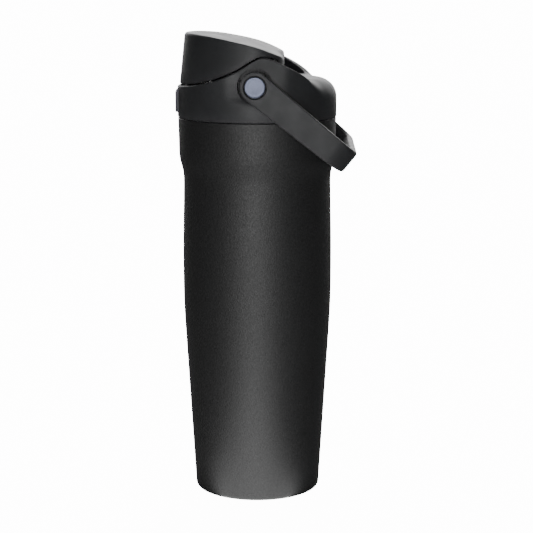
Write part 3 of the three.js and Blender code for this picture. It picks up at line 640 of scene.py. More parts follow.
def material(name):
    """A finish by name, made once from the colours in the panel."""
    if not MATERIALS:
        colours = bpy.context.scene.flask_colours
        black = tuple(colours.plastic)
        MATERIALS.update({
            "powder_coat": powder_coat(tuple(colours.coat)),
            "black_plastic": moulded("black plastic", black, 0.55, 2100, 0.02, 0.35),
            "dark_inner_plastic": moulded("inner plastic", scaled(black, 1.5), 0.36, 1300, 0.012),
            "handle_plastic": moulded("handle plastic", tuple(colours.handle), 0.55, 2000, 0.018, 0.3),
            "button_plastic": moulded("button plastic", tuple(colours.button), 0.55, 1800, 0.012, 0.3),
            "bearing_plastic": moulded("bearing plastic", (0.6, 0.6, 0.56), 0.4, 1200, 0.01),
            "bare_steel": brushed("satin steel", tuple(colours.steel), 0.3, (1, 1, 14)),
            "pivot_metal": brushed("pivot disc metal", tuple(colours.disc), 0.34, (1, 1, 16)),
            "silicone": soft_rubber("silicone", tuple(colours.silicone), 0.6, 700),
            "foot_rubber": soft_rubber("foot rubber", (0.014, 0.014, 0.015), 0.75, 900),
        })
    return MATERIALS[name]


# ---------------------------------------------------------------- bottle
def body_outline(steps):
    """The outside of the steel body, from the foot to the rim."""
    foot = (BASE_RADIUS - BASE_FILLET, SHELL_BOTTOM + BASE_FILLET)
    out = arc(*foot, BASE_FILLET, BASE_FILLET, -90, 0, steps)
    out.append(TAPER_TOP)
    out += bezier(TAPER_TOP, (TAPER_TOP[0] + 0.8, 114), (BULGE[0], 124), BULGE, steps)
    out += bezier(BULGE, (BULGE[0], 158), (WAIST[0], 172), WAIST, steps)
    out += bezier(WAIST, (WAIST[0], 194), (FLARE_TOP[0], 194), FLARE_TOP, steps)
    return out


def build_shell():
    """The coated steel body with its rolled rim, neck and thread."""
    rim_top = RIM_Z + RIM_EDGE
    outside = body_outline(16)
    inside = [(r - SHELL_WALL, max(z, SHELL_BOTTOM + SHELL_WALL)) for r, z in reversed(outside[1:])]
    profile = outside + arc(RIM_RADIUS - RIM_EDGE, RIM_Z, RIM_EDGE, RIM_EDGE, 0, 90, 6)
    profile += [
        (NECK_RADIUS + 0.6, rim_top), (NECK_RADIUS, rim_top + 0.6), (NECK_RADIUS, NECK_TOP),
        (NECK_RADIUS - SHELL_WALL, NECK_TOP), (NECK_RADIUS - SHELL_WALL, rim_top - SHELL_WALL),
        (RIM_RADIUS - SHELL_WALL, rim_top - SHELL_WALL),
    ] + inside + [(outside[0][0], SHELL_BOTTOM + SHELL_WALL)]
    shell = turned("shell", profile)
    merge(shell, thread_ridge(NECK_RADIUS, THREAD_HEIGHT, THREAD_START))
    return finish(shell, "bottle_body", "bottle", "powder_coat", material("powder_coat"), "outer_shell")


def vessel_outline(wall, steps):
    """One face of the inner vessel, from the middle of its floor to its mouth."""
    side = SHELL_WALL + VACUUM_GAP + wall
    floor = VESSEL_FLOOR + wall
    mouth = MOUTH_RADIUS + VESSEL_WALL - wall
    base = BASE_RADIUS - side
    bulge = BULGE[0] - side
    start, corner, end = (base - 7, floor), (base + 0.6, floor), (base + 0.6, floor + 8)
    out = [(0, floor), start]
    out += bezier(start, corner, corner, end, steps)
    out.append((TAPER_TOP[0] - side, TAPER_TOP[1]))
    out += bezier(out[-1], (bulge, 118), (bulge, 118), (bulge, BULGE[1]), steps)
    waist = (WAIST[0] - side, 190)
    out.append(waist)
    out += bezier(waist, (waist[0], 204), (mouth, 202), (mouth, 214), steps)
    return out


def build_vessel():
    """The bare steel vessel that holds the drink, with its rolled lip."""
    lip = NECK_TOP + 0.9
    profile = vessel_outline(0, 10) + [
        (MOUTH_RADIUS + VESSEL_WALL, NECK_TOP + 0.1), (NECK_RADIUS, NECK_TOP + 0.1), (NECK_RADIUS, lip),
        (MOUTH_RADIUS, lip),
    ] + vessel_outline(VESSEL_WALL, 10)[::-1]
    vessel = turned("vessel", profile, MEDIUM)
    return finish(vessel, "drink_vessel", "bottle", "bare_steel", material("bare_steel"), "inner_vessel")


def build_base():
    """The steel base disc, its rubber pad, and the sealing plug and getter above them."""
    radius = BASE_RADIUS - BASE_FILLET - GAP
    floor = SHELL_BOTTOM + 0.1
    disc = [
        (0, 3), (27.5, 3), (28.5, floor), (radius, floor), (radius, floor + 1), (29.5, floor + 1),
        (28.5, 4), (0, 4),
    ]
    steel = material("bare_steel")
    finish(turned("disc", rounded(disc, 0.5)), "base_plate", "bottle", "bare_steel", steel, "base_disc")
    pad = turned("pad", rounded([(0, 0), (26, 0), (27, 0.8), (27, 2.8), (0, 2.8)], 0.4))
    for middle in (8, 14, 20):
        groove = [(middle - 0.5, -0.5), (middle + 0.5, -0.5), (middle + 0.3, 0.35), (middle - 0.3, 0.35)]
        pad = cut(pad, turned("groove", groove))
    finish(pad, "rubber_foot", "bottle", "foot_rubber", material("foot_rubber"), "foot_pad")
    cup = turned("cup", rounded([(0.5, 6.2), (9, 6.2), (9, 8.7), (8, 8.7), (8, 7.2), (0.5, 7.2)], 0.2), SMALL)
    finish(cup, "getter_cup", "bottle", "bare_steel", steel, "getter")
    plug = turned("plug", rounded([(0, 4.1), (3.4, 4.1), (2.6, 5.2), (0, 5.6)], 0.3), SMALL)
    finish(plug, "vacuum_plug", "bottle", "bare_steel", steel, "vacuum_seal")


# ---------------------------------------------------------------- lid
def collar_radius(angle, z):
    """Distance from the axis to the outside of the collar, with its flat ears."""
    share = ease(z, EAR_FLAT_BOTTOM, EAR_FLAT_TOP)
    flat = EAR_FLAT_Y - max(0, z - EAR_FLAT_TOP) * EAR_LEAN
    limit = mix(COLLAR_RADIUS, flat, share)
    plane = limit / max(abs(math.sin(angle)), 0.2)
    blend = EAR_BLEND * share + 0.001
    t = min(max(0.5 + (COLLAR_RADIUS - plane) / (2 * blend), 0), 1)
    return mix(COLLAR_RADIUS, plane, t) - blend * t * (1 - t)


def rear_share(x):
    """How far the collar has turned from the thin cheeks into the thick rear shoulder."""
    return ease(x, *SHOULDER_RUN)


def collar_bore(angle):
    """Radius of the collar's inside above the ledge."""
    x = COLLAR_RADIUS * math.cos(angle)
    cheek_bore = POCKET_BORE + CHEEK_THINNING * ease(x, *CHEEK_RUN)
    return mix(cheek_bore, COLLAR_RADIUS - REAR_FILLET[0] - 1, rear_share(x))


def collar_section(angle):
    """Section of the collar at an angle about the axis."""
    x = COLLAR_RADIUS * math.cos(angle)
    top = collar_edge(x)
    rear = rear_share(x)
    across = mix(EDGE_FILLET, REAR_FILLET[0], rear)
    down = mix(EDGE_FILLET, REAR_FILLET[1], rear)
    bore = collar_bore(angle)
    outside = collar_radius(angle, top)
    lip = 0.35 * (1 - rear)
    section = [(COLLAR_BORE, COLLAR_BOTTOM), (COLLAR_BORE, LEDGE), (bore, LEDGE)]
    section += [(bore, top - lip - 0.01), (bore + lip + 0.01, top)]
    steps = 16
    for i in range(steps + 1):
        a = i / steps * math.pi / 2
        section.append((outside - across * (1 - math.sin(a)), top - down * (1 - math.cos(a))))
    side = top - down
    spread = [mix(side, EAR_FLAT_BOTTOM, (i + 1) / 12) for i in range(12)]
    section += [(collar_radius(angle, z), z) for z in spread]
    section += [(COLLAR_RADIUS, COLLAR_BOTTOM + 0.5), (COLLAR_RADIUS - 0.15, COLLAR_BOTTOM + 0.15)]
    section.append((COLLAR_RADIUS - 0.5, COLLAR_BOTTOM))
    return section


def deck_section(angle):
    """Section of the rear deck, which meets the collar's inside."""
    edge = collar_bore(angle) + 0.5
    foot = REAR_DECK_UNDERSIDE - 0.5
    return [(0, foot), (edge, foot), (edge, REAR_DECK), (0, REAR_DECK)]


def pivot_boss(side):
    """The shallow cone that carries one handle pivot."""
    root = EAR_FLAT_Y - 2
    foot = [(0, root), (BOSS_FOOT_RADIUS, root), (BOSS_FOOT_RADIUS, EAR_FLAT_Y - 0.6)]
    slope = arc(BOSS_FOOT_RADIUS, BOSS_FACE_Y - 0.5, 1.4, 1.1, 250, 182, 5)
    rim = [(BOSS_RADIUS + 0.3, BOSS_FACE_Y - 0.5), (BOSS_RADIUS - 0.3, BOSS_FACE_Y), (0, BOSS_FACE_Y)]
    return along_y(foot + [p for p in slope if p[1] > EAR_FLAT_Y - 0.5] + rim, side)


def build_collar():
    """The lid's screw collar with its ears, bosses, rear deck and latch window."""
    collar = shaped_turn("collar", collar_section, COLLAR_STEPS)
    deck = shaped_turn("deck", deck_section, COLLAR_STEPS, False)
    behind = block((REAR_DECK_FRONT, 50), (-50, 50), (LEDGE, REAR_DECK + 1))
    collar = join(collar, combine(deck, behind, "INTERSECT"))
    collar = cut(collar, turned("under", rod_profile(POCKET_BORE, LEDGE, REAR_DECK_UNDERSIDE)))
    hole = [(0, SCREW_HOLE_END_Y), (SCREW_HOLE_RADIUS, SCREW_HOLE_END_Y),
            (SCREW_HOLE_RADIUS, BOSS_FACE_Y + 1), (0, BOSS_FACE_Y + 1)]
    for side in (-1, 1):
        collar = join(collar, pivot_boss(side))
        collar = cut(collar, along_y(hole, side))
    reach = HINGE_PIN_HALF + GAP
    pin = rod_profile(HINGE_PIN_RADIUS + GAP, -reach, reach)
    collar = cut(collar, along_y(pin, 1, SMALL, HINGE_X, HINGE_Z))
    half = BUTTON_HALF_WIDTH + GAP
    window = (BUTTON_BOTTOM - GAP, BUTTON_TOP + GAP)
    collar = cut(collar, block((-50, WINDOW_BACK_X), (-half, half), window))
    room = (-LATCH_ROOM, LATCH_ROOM)
    collar = cut(collar, block((WINDOW_BACK_X - 2.7, POCKET_BACK_X), room, (window[0], REAR_DECK)))
    collar = cut(collar, block((POCKET_BACK_X - 1, -34), room, (CATCH_BOTTOM - 0.4, REAR_DECK)))
    return finish(collar, "screw_collar", "lid", "black_plastic", material("black_plastic"), "lid_collar")


def build_core():
    """The disc inside the lid, with its thread, the gasket, the drinking spout and the vent."""
    skirt_foot, skirt_inner, skirt_outer = CORE_SKIRT
    plug_foot, plug_inner, plug_outer = CORE_PLUG
    disc = POCKET_BORE - GAP
    profile = [
        (0, CORE_TOP), (disc, CORE_TOP), (disc, CORE_UNDERSIDE), (skirt_outer, CORE_UNDERSIDE),
        (skirt_outer, skirt_foot), (skirt_inner, skirt_foot), (skirt_inner, CORE_UNDERSIDE),
        (plug_outer, CORE_UNDERSIDE), (plug_outer, plug_foot), (plug_inner, plug_foot),
        (plug_inner, CORE_UNDERSIDE), (0, CORE_UNDERSIDE),
    ]
    core = turned("core", rounded(profile, 0.3))
    bore = turned("bore", rod_profile(SPOUT_BORE + 1, plug_foot - 1, CORE_TOP + 1), SMALL)
    core = cut(core, place(bore, Matrix.Translation((SPOUT_X, 0, 0))))
    vent = turned("vent", rod_profile(VENT_RADIUS + GAP, plug_foot - 1, CORE_TOP + 1), SMALL)
    core = cut(core, place(vent, Matrix.Translation((*VENT, 0))))
    notch = LATCH_ROOM + 0.5
    core = cut(core, block((-50, -skirt_outer - 0.1), (-notch, notch), (CORE_UNDERSIDE - 0.4, CORE_TOP + 1)))
    merge(core, thread_ridge(LID_THREAD_RADIUS, -THREAD_HEIGHT, THREAD_START - THREAD_PITCH / 2))
    inner = material("dark_inner_plastic")
    finish(core, "lid_inner_disc", "lid", "dark_inner_plastic", inner, "lid_core")
    low_face, high_face = NECK_TOP + 1, CORE_UNDERSIDE - 0.1
    ring = [(26.9, low_face), (30.8, low_face), (30.8, high_face), (26.9, high_face)]
    gasket = turned("ring", rounded(ring, 0.4))
    finish(gasket, "sealing_ring", "seal", "silicone", material("silicone"), "lid_gasket")
    build_spout(inner)
    head = CORE_TOP + 0.1
    valve = [(0, CORE_UNDERSIDE - 1.7), (VENT_RADIUS, CORE_UNDERSIDE - 1.7), (VENT_RADIUS, head), (3.6, head),
             (3, head + 1.5), (0, head + 1.5)]
    vent = place(turned("valve", rounded(valve, 0.4), SMALL), Matrix.Translation((*VENT, 0)))
    finish(vent, "vent_plug", "lid", "silicone", material("silicone"), "vent_valve")


def build_spout(inner):
    """The round drinking spout, with its flange and rolled lip."""
    flange = CORE_TOP + 0.8
    lip = arc(SPOUT_RADIUS - 1.1, SPOUT_TOP - 1.1, 1.1, 1.1, 0, 90, 6)
    profile = [
        (SPOUT_BORE - 0.6, 234), (SPOUT_BORE + 0.7, 234), (SPOUT_BORE + 0.7, flange - 0.5),
        (SPOUT_RADIUS + 1.4, flange - 0.5), (SPOUT_RADIUS + 1.4, flange + 1), (SPOUT_RADIUS, flange + 1.6),
        (SPOUT_RADIUS - 0.4, SPOUT_TOP - 2.4),
    ] + lip + [
        (SPOUT_BORE + 0.7, SPOUT_TOP), (SPOUT_BORE + 0.2, SPOUT_TOP - 0.3), (SPOUT_BORE, SPOUT_TOP - 1.2),
    ]
    spout = place(turned("spout", profile), Matrix.Translation((SPOUT_X, 0, 0)))
    finish(spout, "drinking_spout", "lid", "dark_inner_plastic", inner, "spout")


# ---------------------------------------------------------------- flip cap
def cap_radius(angle, z, inset):
    """Plan radius of the cap: a leaning round wall and a straight tail with large corners."""
    lean = CAP_BASE[0] - (z - CAP_BASE[1]) * CAP_LEAN - inset
    tail = CAP_TAIL_X - inset
    corner = CAP_TAIL_CORNER - inset
    x = tail - corner
    y = math.sqrt((lean - corner) ** 2 - x ** 2)
    a = abs(angle)
    if a < math.atan2(y, tail):
        return tail / math.cos(a)
    if a < math.atan2(y, x):
        along = x * math.cos(a) + y * math.sin(a)
        return along + math.sqrt(along ** 2 - x ** 2 - y ** 2 + corner ** 2)
    return lean


def cap_fillet(angle):
    """Across and down sizes of the fillet round the cap's top."""
    tail = ease(math.cos(angle), 0.35, 0.8)
    front = ease(-math.cos(angle), 0.3, 0.85)
    return [s + (t - s) * tail + (f - s) * front
            for s, t, f in zip(CAP_SIDE_FILLET, CAP_TAIL_FILLET, CAP_FRONT_FILLET)]


def cap_bottom(angle):
    """Lower edge of the cap: it follows the collar, and drops between the ears at the tail."""
    radius = cap_radius(angle, CAP_SKIRT_Z, 0)
    follow = collar_edge(radius * math.cos(angle)) + CAP_GAP
    return mix(CAP_TAIL_BOTTOM, follow, ease(radius, 38.2, 38.6))


def cap_section(angle):
    """Section of the cap's shell, from the middle of its roof round to the middle of its ceiling."""
    across, down = cap_fillet(angle)
    plan = cap_radius(angle, CAP_EDGE_Z, 0)
    reach = plan - across
    direction = math.cos(angle)
    roof = [(reach * i / 12, cap_top(reach * i / 12 * direction)) for i in range(12)]
    edge = cap_top(reach * direction)
    slope = cap_top((reach + 1) * direction) - edge
    section = roof
    steps = 9
    for i in range(steps + 1):
        a = i / steps * math.pi / 2
        r = reach + across * math.sin(a)
        z = edge + slope * across * math.sin(a) - down * (1 - math.cos(a))
        section.append((r + (cap_radius(angle, z, 0) - plan) * math.sin(a), z))
    side = section[-1][1]
    bottom = min(cap_bottom(angle), side - 0.4)
    round_off = min(0.35, (side - bottom) / 3)
    for share in (0.33, 0.67):
        z = mix(side, bottom + round_off, share)
        section.append((cap_radius(angle, z, 0), z))
    z = bottom + round_off
    part_way = round_off * 0.3
    section += [(cap_radius(angle, z, 0), z), (cap_radius(angle, bottom, part_way), bottom + part_way)]
    section += [(cap_radius(angle, bottom, inset), bottom) for inset in (round_off, CAP_WALL)]

    def ceiling(r):
        return cap_top(r * direction) - CAP_WALL - 0.2

    inner = cap_radius(angle, edge - CAP_WALL, CAP_WALL)
    fillet = down * CAP_INNER_FILLET
    shoulder = max(min(ceiling(inner), side + down - CAP_WALL - fillet), bottom + 0.1)
    section += [(inner, shoulder), (inner - fillet, max(ceiling(inner - fillet), shoulder + 0.05))]
    radii = [(inner - fillet) * (1 - i / 8) for i in range(1, 9)]
    section += [(r, ceiling(r)) for r in radii]
    return section


def build_cap():
    """The flip cap's shell with its hinge knuckles, pin hole and spring slot."""
    shell = shaped_turn("cap", cap_section, CAP_STEPS, closed=False)
    for middle in (-KNUCKLE_Y, KNUCKLE_Y):
        y = (middle - KNUCKLE_RADIUS, middle + KNUCKLE_RADIUS)
        x = (HINGE_X - KNUCKLE_RADIUS, HINGE_X + KNUCKLE_RADIUS - 0.2)
        shell = join(shell, block(x, y, (HINGE_Z, HINGE_Z + 3)))
        shell = join(shell, along_y(rod_profile(KNUCKLE_RADIUS, *y), 1, SMALL, HINGE_X, HINGE_Z))
    hole = rod_profile(HINGE_PIN_RADIUS + GAP, -45, 45)
    shell = cut(shell, along_y(hole, 1, SMALL, HINGE_X, HINGE_Z))
    slot = block((HINGE_X - 3, CAP_TAIL_X + 1), (-4.6, 4.6), (CAP_TAIL_BOTTOM - 1, HINGE_Z + 2.6))
    shell = cut(shell, slot)
    black = material("black_plastic")
    return finish(shell, "flip_cap_cover", "flip_cap", "black_plastic", black, "cap_shell")


def liner_roof(angle, reach, rows):
    """The liner's upper side from its rim to the middle."""
    def top(r):
        return cap_top(r * math.cos(angle)) - CAP_WALL - LINER_ROOF_GAP
    radii = [(reach - 2) * (1 - i / rows) for i in range(rows + 1)]
    return [(reach, top(reach) - 1)] + [(r, top(r)) for r in radii]


def liner_plate(angle):
    """Section of the liner's plate."""
    reach = cap_radius(angle, LINER_Z, CAP_WALL + LINER_SIDE_GAP + 0.1)
    roof = liner_roof(angle, reach, 8)
    under = [(r, z - LINER_THICKNESS) for r, z in reversed(roof[1:])]
    rim = [(reach - 0.5, roof[0][1] - LINER_THICKNESS - 0.2), (reach, roof[0][1] - LINER_THICKNESS + 0.3)]
    return under + rim + roof


def liner_space(angle):
    """Section of the space that the liner may fill."""
    reach = cap_radius(angle, LINER_Z, CAP_WALL + LINER_SIDE_GAP)
    return [(0, COLLAR_BOTTOM), (reach, COLLAR_BOTTOM)] + liner_roof(angle, reach, 8)


def catch_hook():
    """The hook at the front of the liner."""
    side = [
        (-37, 266.6), (-39.4, 262), (CATCH_FRONT_X, 247), (CATCH_FRONT_X, CATCH_BOTTOM),
        (CATCH_FRONT_X + 0.8, CATCH_BOTTOM), (CATCH_NOSE_X, CATCH_BOTTOM + 1.2),
        (CATCH_NOSE_X, LATCH_BOTTOM - GAP), (CATCH_BACK_X, LATCH_BOTTOM - GAP), (CATCH_BACK_X, 247),
        (-37, 259),
    ]
    hook = prism("hook", side, -CATCH_HALF_WIDTH, CATCH_HALF_WIDTH)
    return place(hook, Matrix.Rotation(math.radians(90), 4, "X"))


def build_liner():
    """The cap's inner plate with its seal boss and hook, and the seal that closes the spout."""
    liner = shaped_turn("liner", liner_plate, FINE, closed=False)
    space = shaped_turn("space", liner_space, FINE, closed=False)
    boss = turned("boss", rod_profile(SPOUT_RADIUS - 0.6, SPOUT_TOP + 3.2, CAP_EDGE_Z + 10), MEDIUM)
    boss = combine(place(boss, Matrix.Translation((SPOUT_X, 0, 0))), space, "INTERSECT")
    liner = join(liner, boss)
    hinge_room = block((HINGE_X - KNUCKLE_RADIUS - 2, CAP_TAIL_X), (-50, 50), (COLLAR_BOTTOM, 280))
    liner = join(cut(liner, hinge_room), catch_hook())
    inner = material("dark_inner_plastic")
    finish(liner, "cap_inner_plate", "flip_cap", "dark_inner_plastic", inner, "cap_liner")
    foot = SPOUT_TOP + 0.3
    profile = [(0, foot), (SPOUT_BORE - 1, foot), (SPOUT_RADIUS, foot), (SPOUT_RADIUS + 0.6, foot + 0.9),
               (SPOUT_RADIUS + 0.2, foot + 2.7), (0, foot + 2.7)]
    seal = place(turned("seal", rounded(profile, 0.5)), Matrix.Translation((SPOUT_X, 0, 0)))
    finish(seal, "spout_stopper", "flip_cap", "silicone", material("silicone"), "spout_seal")


def build_hinge():
    """The hinge pin, and a steel finish for the torsion spring, whose shape stays the frame's own."""
    steel = material("bare_steel")
    pin = rounded(rod_profile(HINGE_PIN_RADIUS, -HINGE_PIN_HALF, HINGE_PIN_HALF), 0.3)
    rod = along_y(pin, 1, SMALL, HINGE_X, HINGE_Z)
    finish(rod, "cap_hinge_pin", "lid", "bare_steel", steel, "hinge_pin")
    dress("hinge_spring", steel)


# ---------------------------------------------------------------- latch
def build_latch():
    """The release button, and finishes for the frame's own latch plate and return spring."""
    back = BUTTON_FACE - BUTTON_THICKNESS
    spread = math.degrees(math.asin(BUTTON_HALF_WIDTH / BUTTON_FACE))
    outline = arc(0, 0, BUTTON_FACE, BUTTON_FACE, 180 - spread, 180 + spread, 40)
    outline += arc(0, 0, back, back, 180 + spread, 180 - spread, 40)
    plate = prism("button", outline, BUTTON_BOTTOM, BUTTON_TOP)
    side = [
        (-60, BUTTON_BOTTOM - 1), (-46.4, BUTTON_BOTTOM - 1), (-BUTTON_FACE - 0.1, BUTTON_BOTTOM + 1.4),
        (-BUTTON_FACE - 0.1, BUTTON_TOP - 2.6), (-45.9, BUTTON_TOP + 1), (-60, BUTTON_TOP + 1),
    ]
    chamfer = place(prism("chamfer", side, -30, 30), Matrix.Rotation(math.radians(90), 4, "X"))
    plate = soften(cut(plate, chamfer), 0.45)
    button = material("button_plastic")
    finish(plate, "push_button", "button", "button_plastic", button, "release_button")
    dress("latch_slide", button)
    dress("button_spring", material("bare_steel"))


def soften(obj, width, segments=3):
    """Rounds the sharp edges of a mesh, width in millimetres."""
    modifier = obj.modifiers.new("soften", "BEVEL")
    modifier.width = width * MM
    modifier.segments = segments
    modifier.limit_method = "ANGLE"
    modifier.angle_limit = math.radians(25)
    graph = bpy.context.evaluated_depsgraph_get()
    mesh = bpy.data.meshes.new_from_object(obj.evaluated_get(graph))
    obj.modifiers.remove(modifier)
    obj.data = mesh
    return obj


# ---------------------------------------------------------------- handle
def handle_half_width(x):
    """Half the strap's width at a distance x along the arm from the pivot."""
    if x < 0:
        return math.sqrt(max(HANDLE_EYE_RADIUS ** 2 - x * x, 0.04))
    return mix(HANDLE_EYE_RADIUS, HANDLE_END_HALF, x / HANDLE_REACH)


def handle_stations():
    """Pairs of outer and inner plan points from one eye round to the other."""
    straight = HANDLE_REACH - HANDLE_CORNER
    corner = HANDLE_OUTER_Y - HANDLE_CORNER
    eye = [-HANDLE_EYE_RADIUS * math.cos(math.radians(5 * i + 0.8)) for i in range(18)]
    arm = eye + [straight * i / 12 for i in range(12)]
    half = [((x, HANDLE_OUTER_Y), (x, HANDLE_INNER_Y)) for x in arm]
    inner = (HANDLE_CORNER - HANDLE_BAR, HANDLE_INNER_Y - corner)
    steps = 40
    for i in range(steps + 1):
        a = math.radians(90 - 90 * i / steps)
        outer_point = (straight + HANDLE_CORNER * math.cos(a), corner + HANDLE_CORNER * math.sin(a))
        inner_point = (straight + inner[0] * math.cos(a), corner + inner[1] * math.sin(a))
        half.append((outer_point, inner_point))
    middle = [((HANDLE_REACH, y), (HANDLE_REACH - HANDLE_BAR, y)) for y in (corner * 0.5, 0)]
    other = [((o[0], -o[1]), (i[0], -i[1])) for o, i in reversed(half)]
    return half + middle + [((o[0], -o[1]), (i[0], -i[1])) for o, i in middle[:1]] + other


def strap_section(outer, inner):
    """A rounded rectangle between an outer and an inner plan point, in handle coordinates."""
    along = (outer[0] + inner[0]) / 2
    half = handle_half_width(along)
    depth = math.dist(outer, inner)
    bend = ease(along, HANDLE_REACH - HANDLE_CORNER, HANDLE_REACH - HANDLE_BAR)
    edge = mix(HANDLE_EDGE, HANDLE_TIP_EDGE, bend)
    radius = min(edge, half * 0.7, depth * 0.45)
    corners = []
    for cx, cz, start in ((depth - radius, half - radius, 0), (radius, half - radius, 90),
                          (radius, radius - half, 180), (depth - radius, radius - half, 270)):
        corners += arc(cx, cz, radius, radius, start, start + 90, 5)
    points = []
    for out, up in corners:
        t = out / depth
        points.append((mix(inner[0], outer[0], t), mix(inner[1], outer[1], t), up))
    return points


def build_handle():
    """The carry handle: one strap bent round from eye to eye."""
    stations = [strap_section(*pair) for pair in handle_stations()]
    rows = len(stations[0])
    points = [p for station in stations for p in station]
    faces = []
    for i in range(len(stations) - 1):
        for j in range(rows):
            k = (j + 1) % rows
            faces.append((i * rows + j, i * rows + k, (i + 1) * rows + k, (i + 1) * rows + j))
    last = (len(stations) - 1) * rows
    faces += [tuple(reversed(range(rows))), tuple(range(last, last + rows))]
    handle = new_object("handle", points, faces)
    handle = place(handle, Matrix.Translation((0, 0, PIVOT_Z)) @ Matrix.Rotation(HANDLE_ANGLE, 4, "Y"))
    lip = 0.35
    hole = [
        (0, 44), (EYE_HOLE_RADIUS, 44), (EYE_HOLE_RADIUS, EYE_RECESS_Y), (EYE_RECESS_RADIUS, EYE_RECESS_Y),
        (EYE_RECESS_RADIUS, HANDLE_OUTER_Y - lip), (EYE_RECESS_RADIUS + lip, HANDLE_OUTER_Y + 0.02),
        (EYE_RECESS_RADIUS + lip, 52), (0, 52),
    ]
    for side in (-1, 1):
        handle = cut(handle, along_y(hole, side))
    handle = cut(handle, turned("relief", rod_profile(HANDLE_BODY_RELIEF, 150, 220), 360))
    finish(handle, "carry_handle", "handle", "handle_plastic", material("handle_plastic"), "bail_handle")


def build_pivots():
    """On both sides: the bushing, the shoulder screw and the metal disc that hides it."""
    sleeve = EYE_HOLE_RADIUS - GAP
    foot = BOSS_FACE_Y + 0.1
    under = EYE_RECESS_Y + 0.1
    head = EYE_RECESS_Y + 0.7
    shank = SCREW_HOLE_RADIUS - GAP
    face = high("pivot_cap_left", "y")
    dome = [(PIVOT_DISC_RADIUS - 0.5 - 0.9 * i, face - 0.12 + 0.02 * i) for i in range(1, 6)]
    shapes = {
        "bushing": [(SCREW_HOLE_RADIUS, foot), (sleeve, foot), (sleeve, under), (5.6, under),
                    (5.6, under + 0.5), (SCREW_HOLE_RADIUS, under + 0.5)],
        "screw": [(0, SCREW_HOLE_END_Y + 0.4), (shank, SCREW_HOLE_END_Y + 0.4), (shank, head), (4.8, head),
                  (4.4, head + 0.9), (0, head + 0.9)],
        "cap": [(0, face - 1.1), (PIVOT_DISC_RADIUS, face - 1.1), (PIVOT_DISC_RADIUS, face - 0.5),
                (PIVOT_DISC_RADIUS - 0.15, face - 0.15), (PIVOT_DISC_RADIUS - 0.5, face),
                *dome, (0, face - 0.02)],
    }
    looks = {"bushing": ("lid", "bearing_plastic"), "screw": ("lid", "bare_steel"),
             "cap": ("handle", "pivot_metal")}
    for side, name in ((-1, "right"), (1, "left")):
        for kind, profile in shapes.items():
            body, slot = looks[kind]
            piece = along_y(profile if kind == "cap" else rounded(profile, 0.2), side, MEDIUM)
            finish(piece, f"handle_{kind}_{name}", body, slot, material(slot), f"pivot_{kind}_{name}")


# ---------------------------------------------------------------- studio
def area_light(name, position, target, size, power):
    """A rectangular softbox that the camera doesn't see."""
    data = bpy.data.lights.new(name, "AREA")
    data.shape = "RECTANGLE"
    data.size, data.size_y = size
    data.energy = power
    light = bpy.data.objects.new(name, data)
    light.location = position
    direction = Vector(target) - Vector(position)
    light.rotation_euler = direction.to_track_quat("-Z", "Y").to_euler()
    light.visible_camera = False
    bpy.context.scene.collection.objects.link(light)


def lobe(nodes, links, direction, start, end, strength):
    """Light from one side of the surroundings, fading between two cosines from its direction."""
    here = nodes.new("ShaderNodeTexCoord").outputs["Generated"]
    dot = nodes.new("ShaderNodeVectorMath")
    dot.operation = "DOT_PRODUCT"
    dot.inputs[1].default_value = Vector(direction).normalized()
    links.new(here, dot.inputs[0])
    fade = nodes.new("ShaderNodeMapRange")
    fade.interpolation_type = "SMOOTHSTEP"
    for name, value in (("From Min", start), ("From Max", end), ("To Min", 0), ("To Max", strength)):
        fade.inputs[name].default_value = value
    links.new(dot.outputs["Value"], fade.inputs["Value"])
    return fade.outputs["Result"]


def build_surroundings(studio):
    """Soft light from all round: weak at the sides, strong behind and above."""
    world = bpy.data.worlds.new("studio")
    bpy.context.scene.world = world
    world.use_nodes = True
    nodes, links = world.node_tree.nodes, world.node_tree.links
    total = None
    for direction, start, end, strength in (
        ((0, 1, 0.25), 0.72, 0.97, studio.back), ((0.1, 0.1, 1), 0.5, 0.95, studio.top),
        ((0, 0, 1), -2, -1.5, studio.fill),
    ):
        value = lobe(nodes, links, direction, start, end, strength)
        if total is None:
            total = value
            continue
        add = nodes.new("ShaderNodeMath")
        links.new(total, add.inputs[0])
        links.new(value, add.inputs[1])
        total = add.outputs[0]
    light = nodes["Background"]
    light.inputs["Color"].default_value = (1, 1, 1, 1)
    links.new(total, light.inputs["Strength"])
    seen = nodes.new("ShaderNodeBackground")
    seen.inputs["Color"].default_value = (1, 1, 1, 1)
    seen.inputs["Strength"].default_value = studio.backdrop
    switch = nodes.new("ShaderNodeMixShader")
    links.new(nodes.new("ShaderNodeLightPath").outputs["Is Camera Ray"], switch.inputs["Fac"])
    links.new(light.outputs["Background"], switch.inputs[1])
    links.new(seen.outputs["Background"], switch.inputs[2])
    links.new(switch.outputs["Shader"], nodes["World Output"].inputs["Surface"])


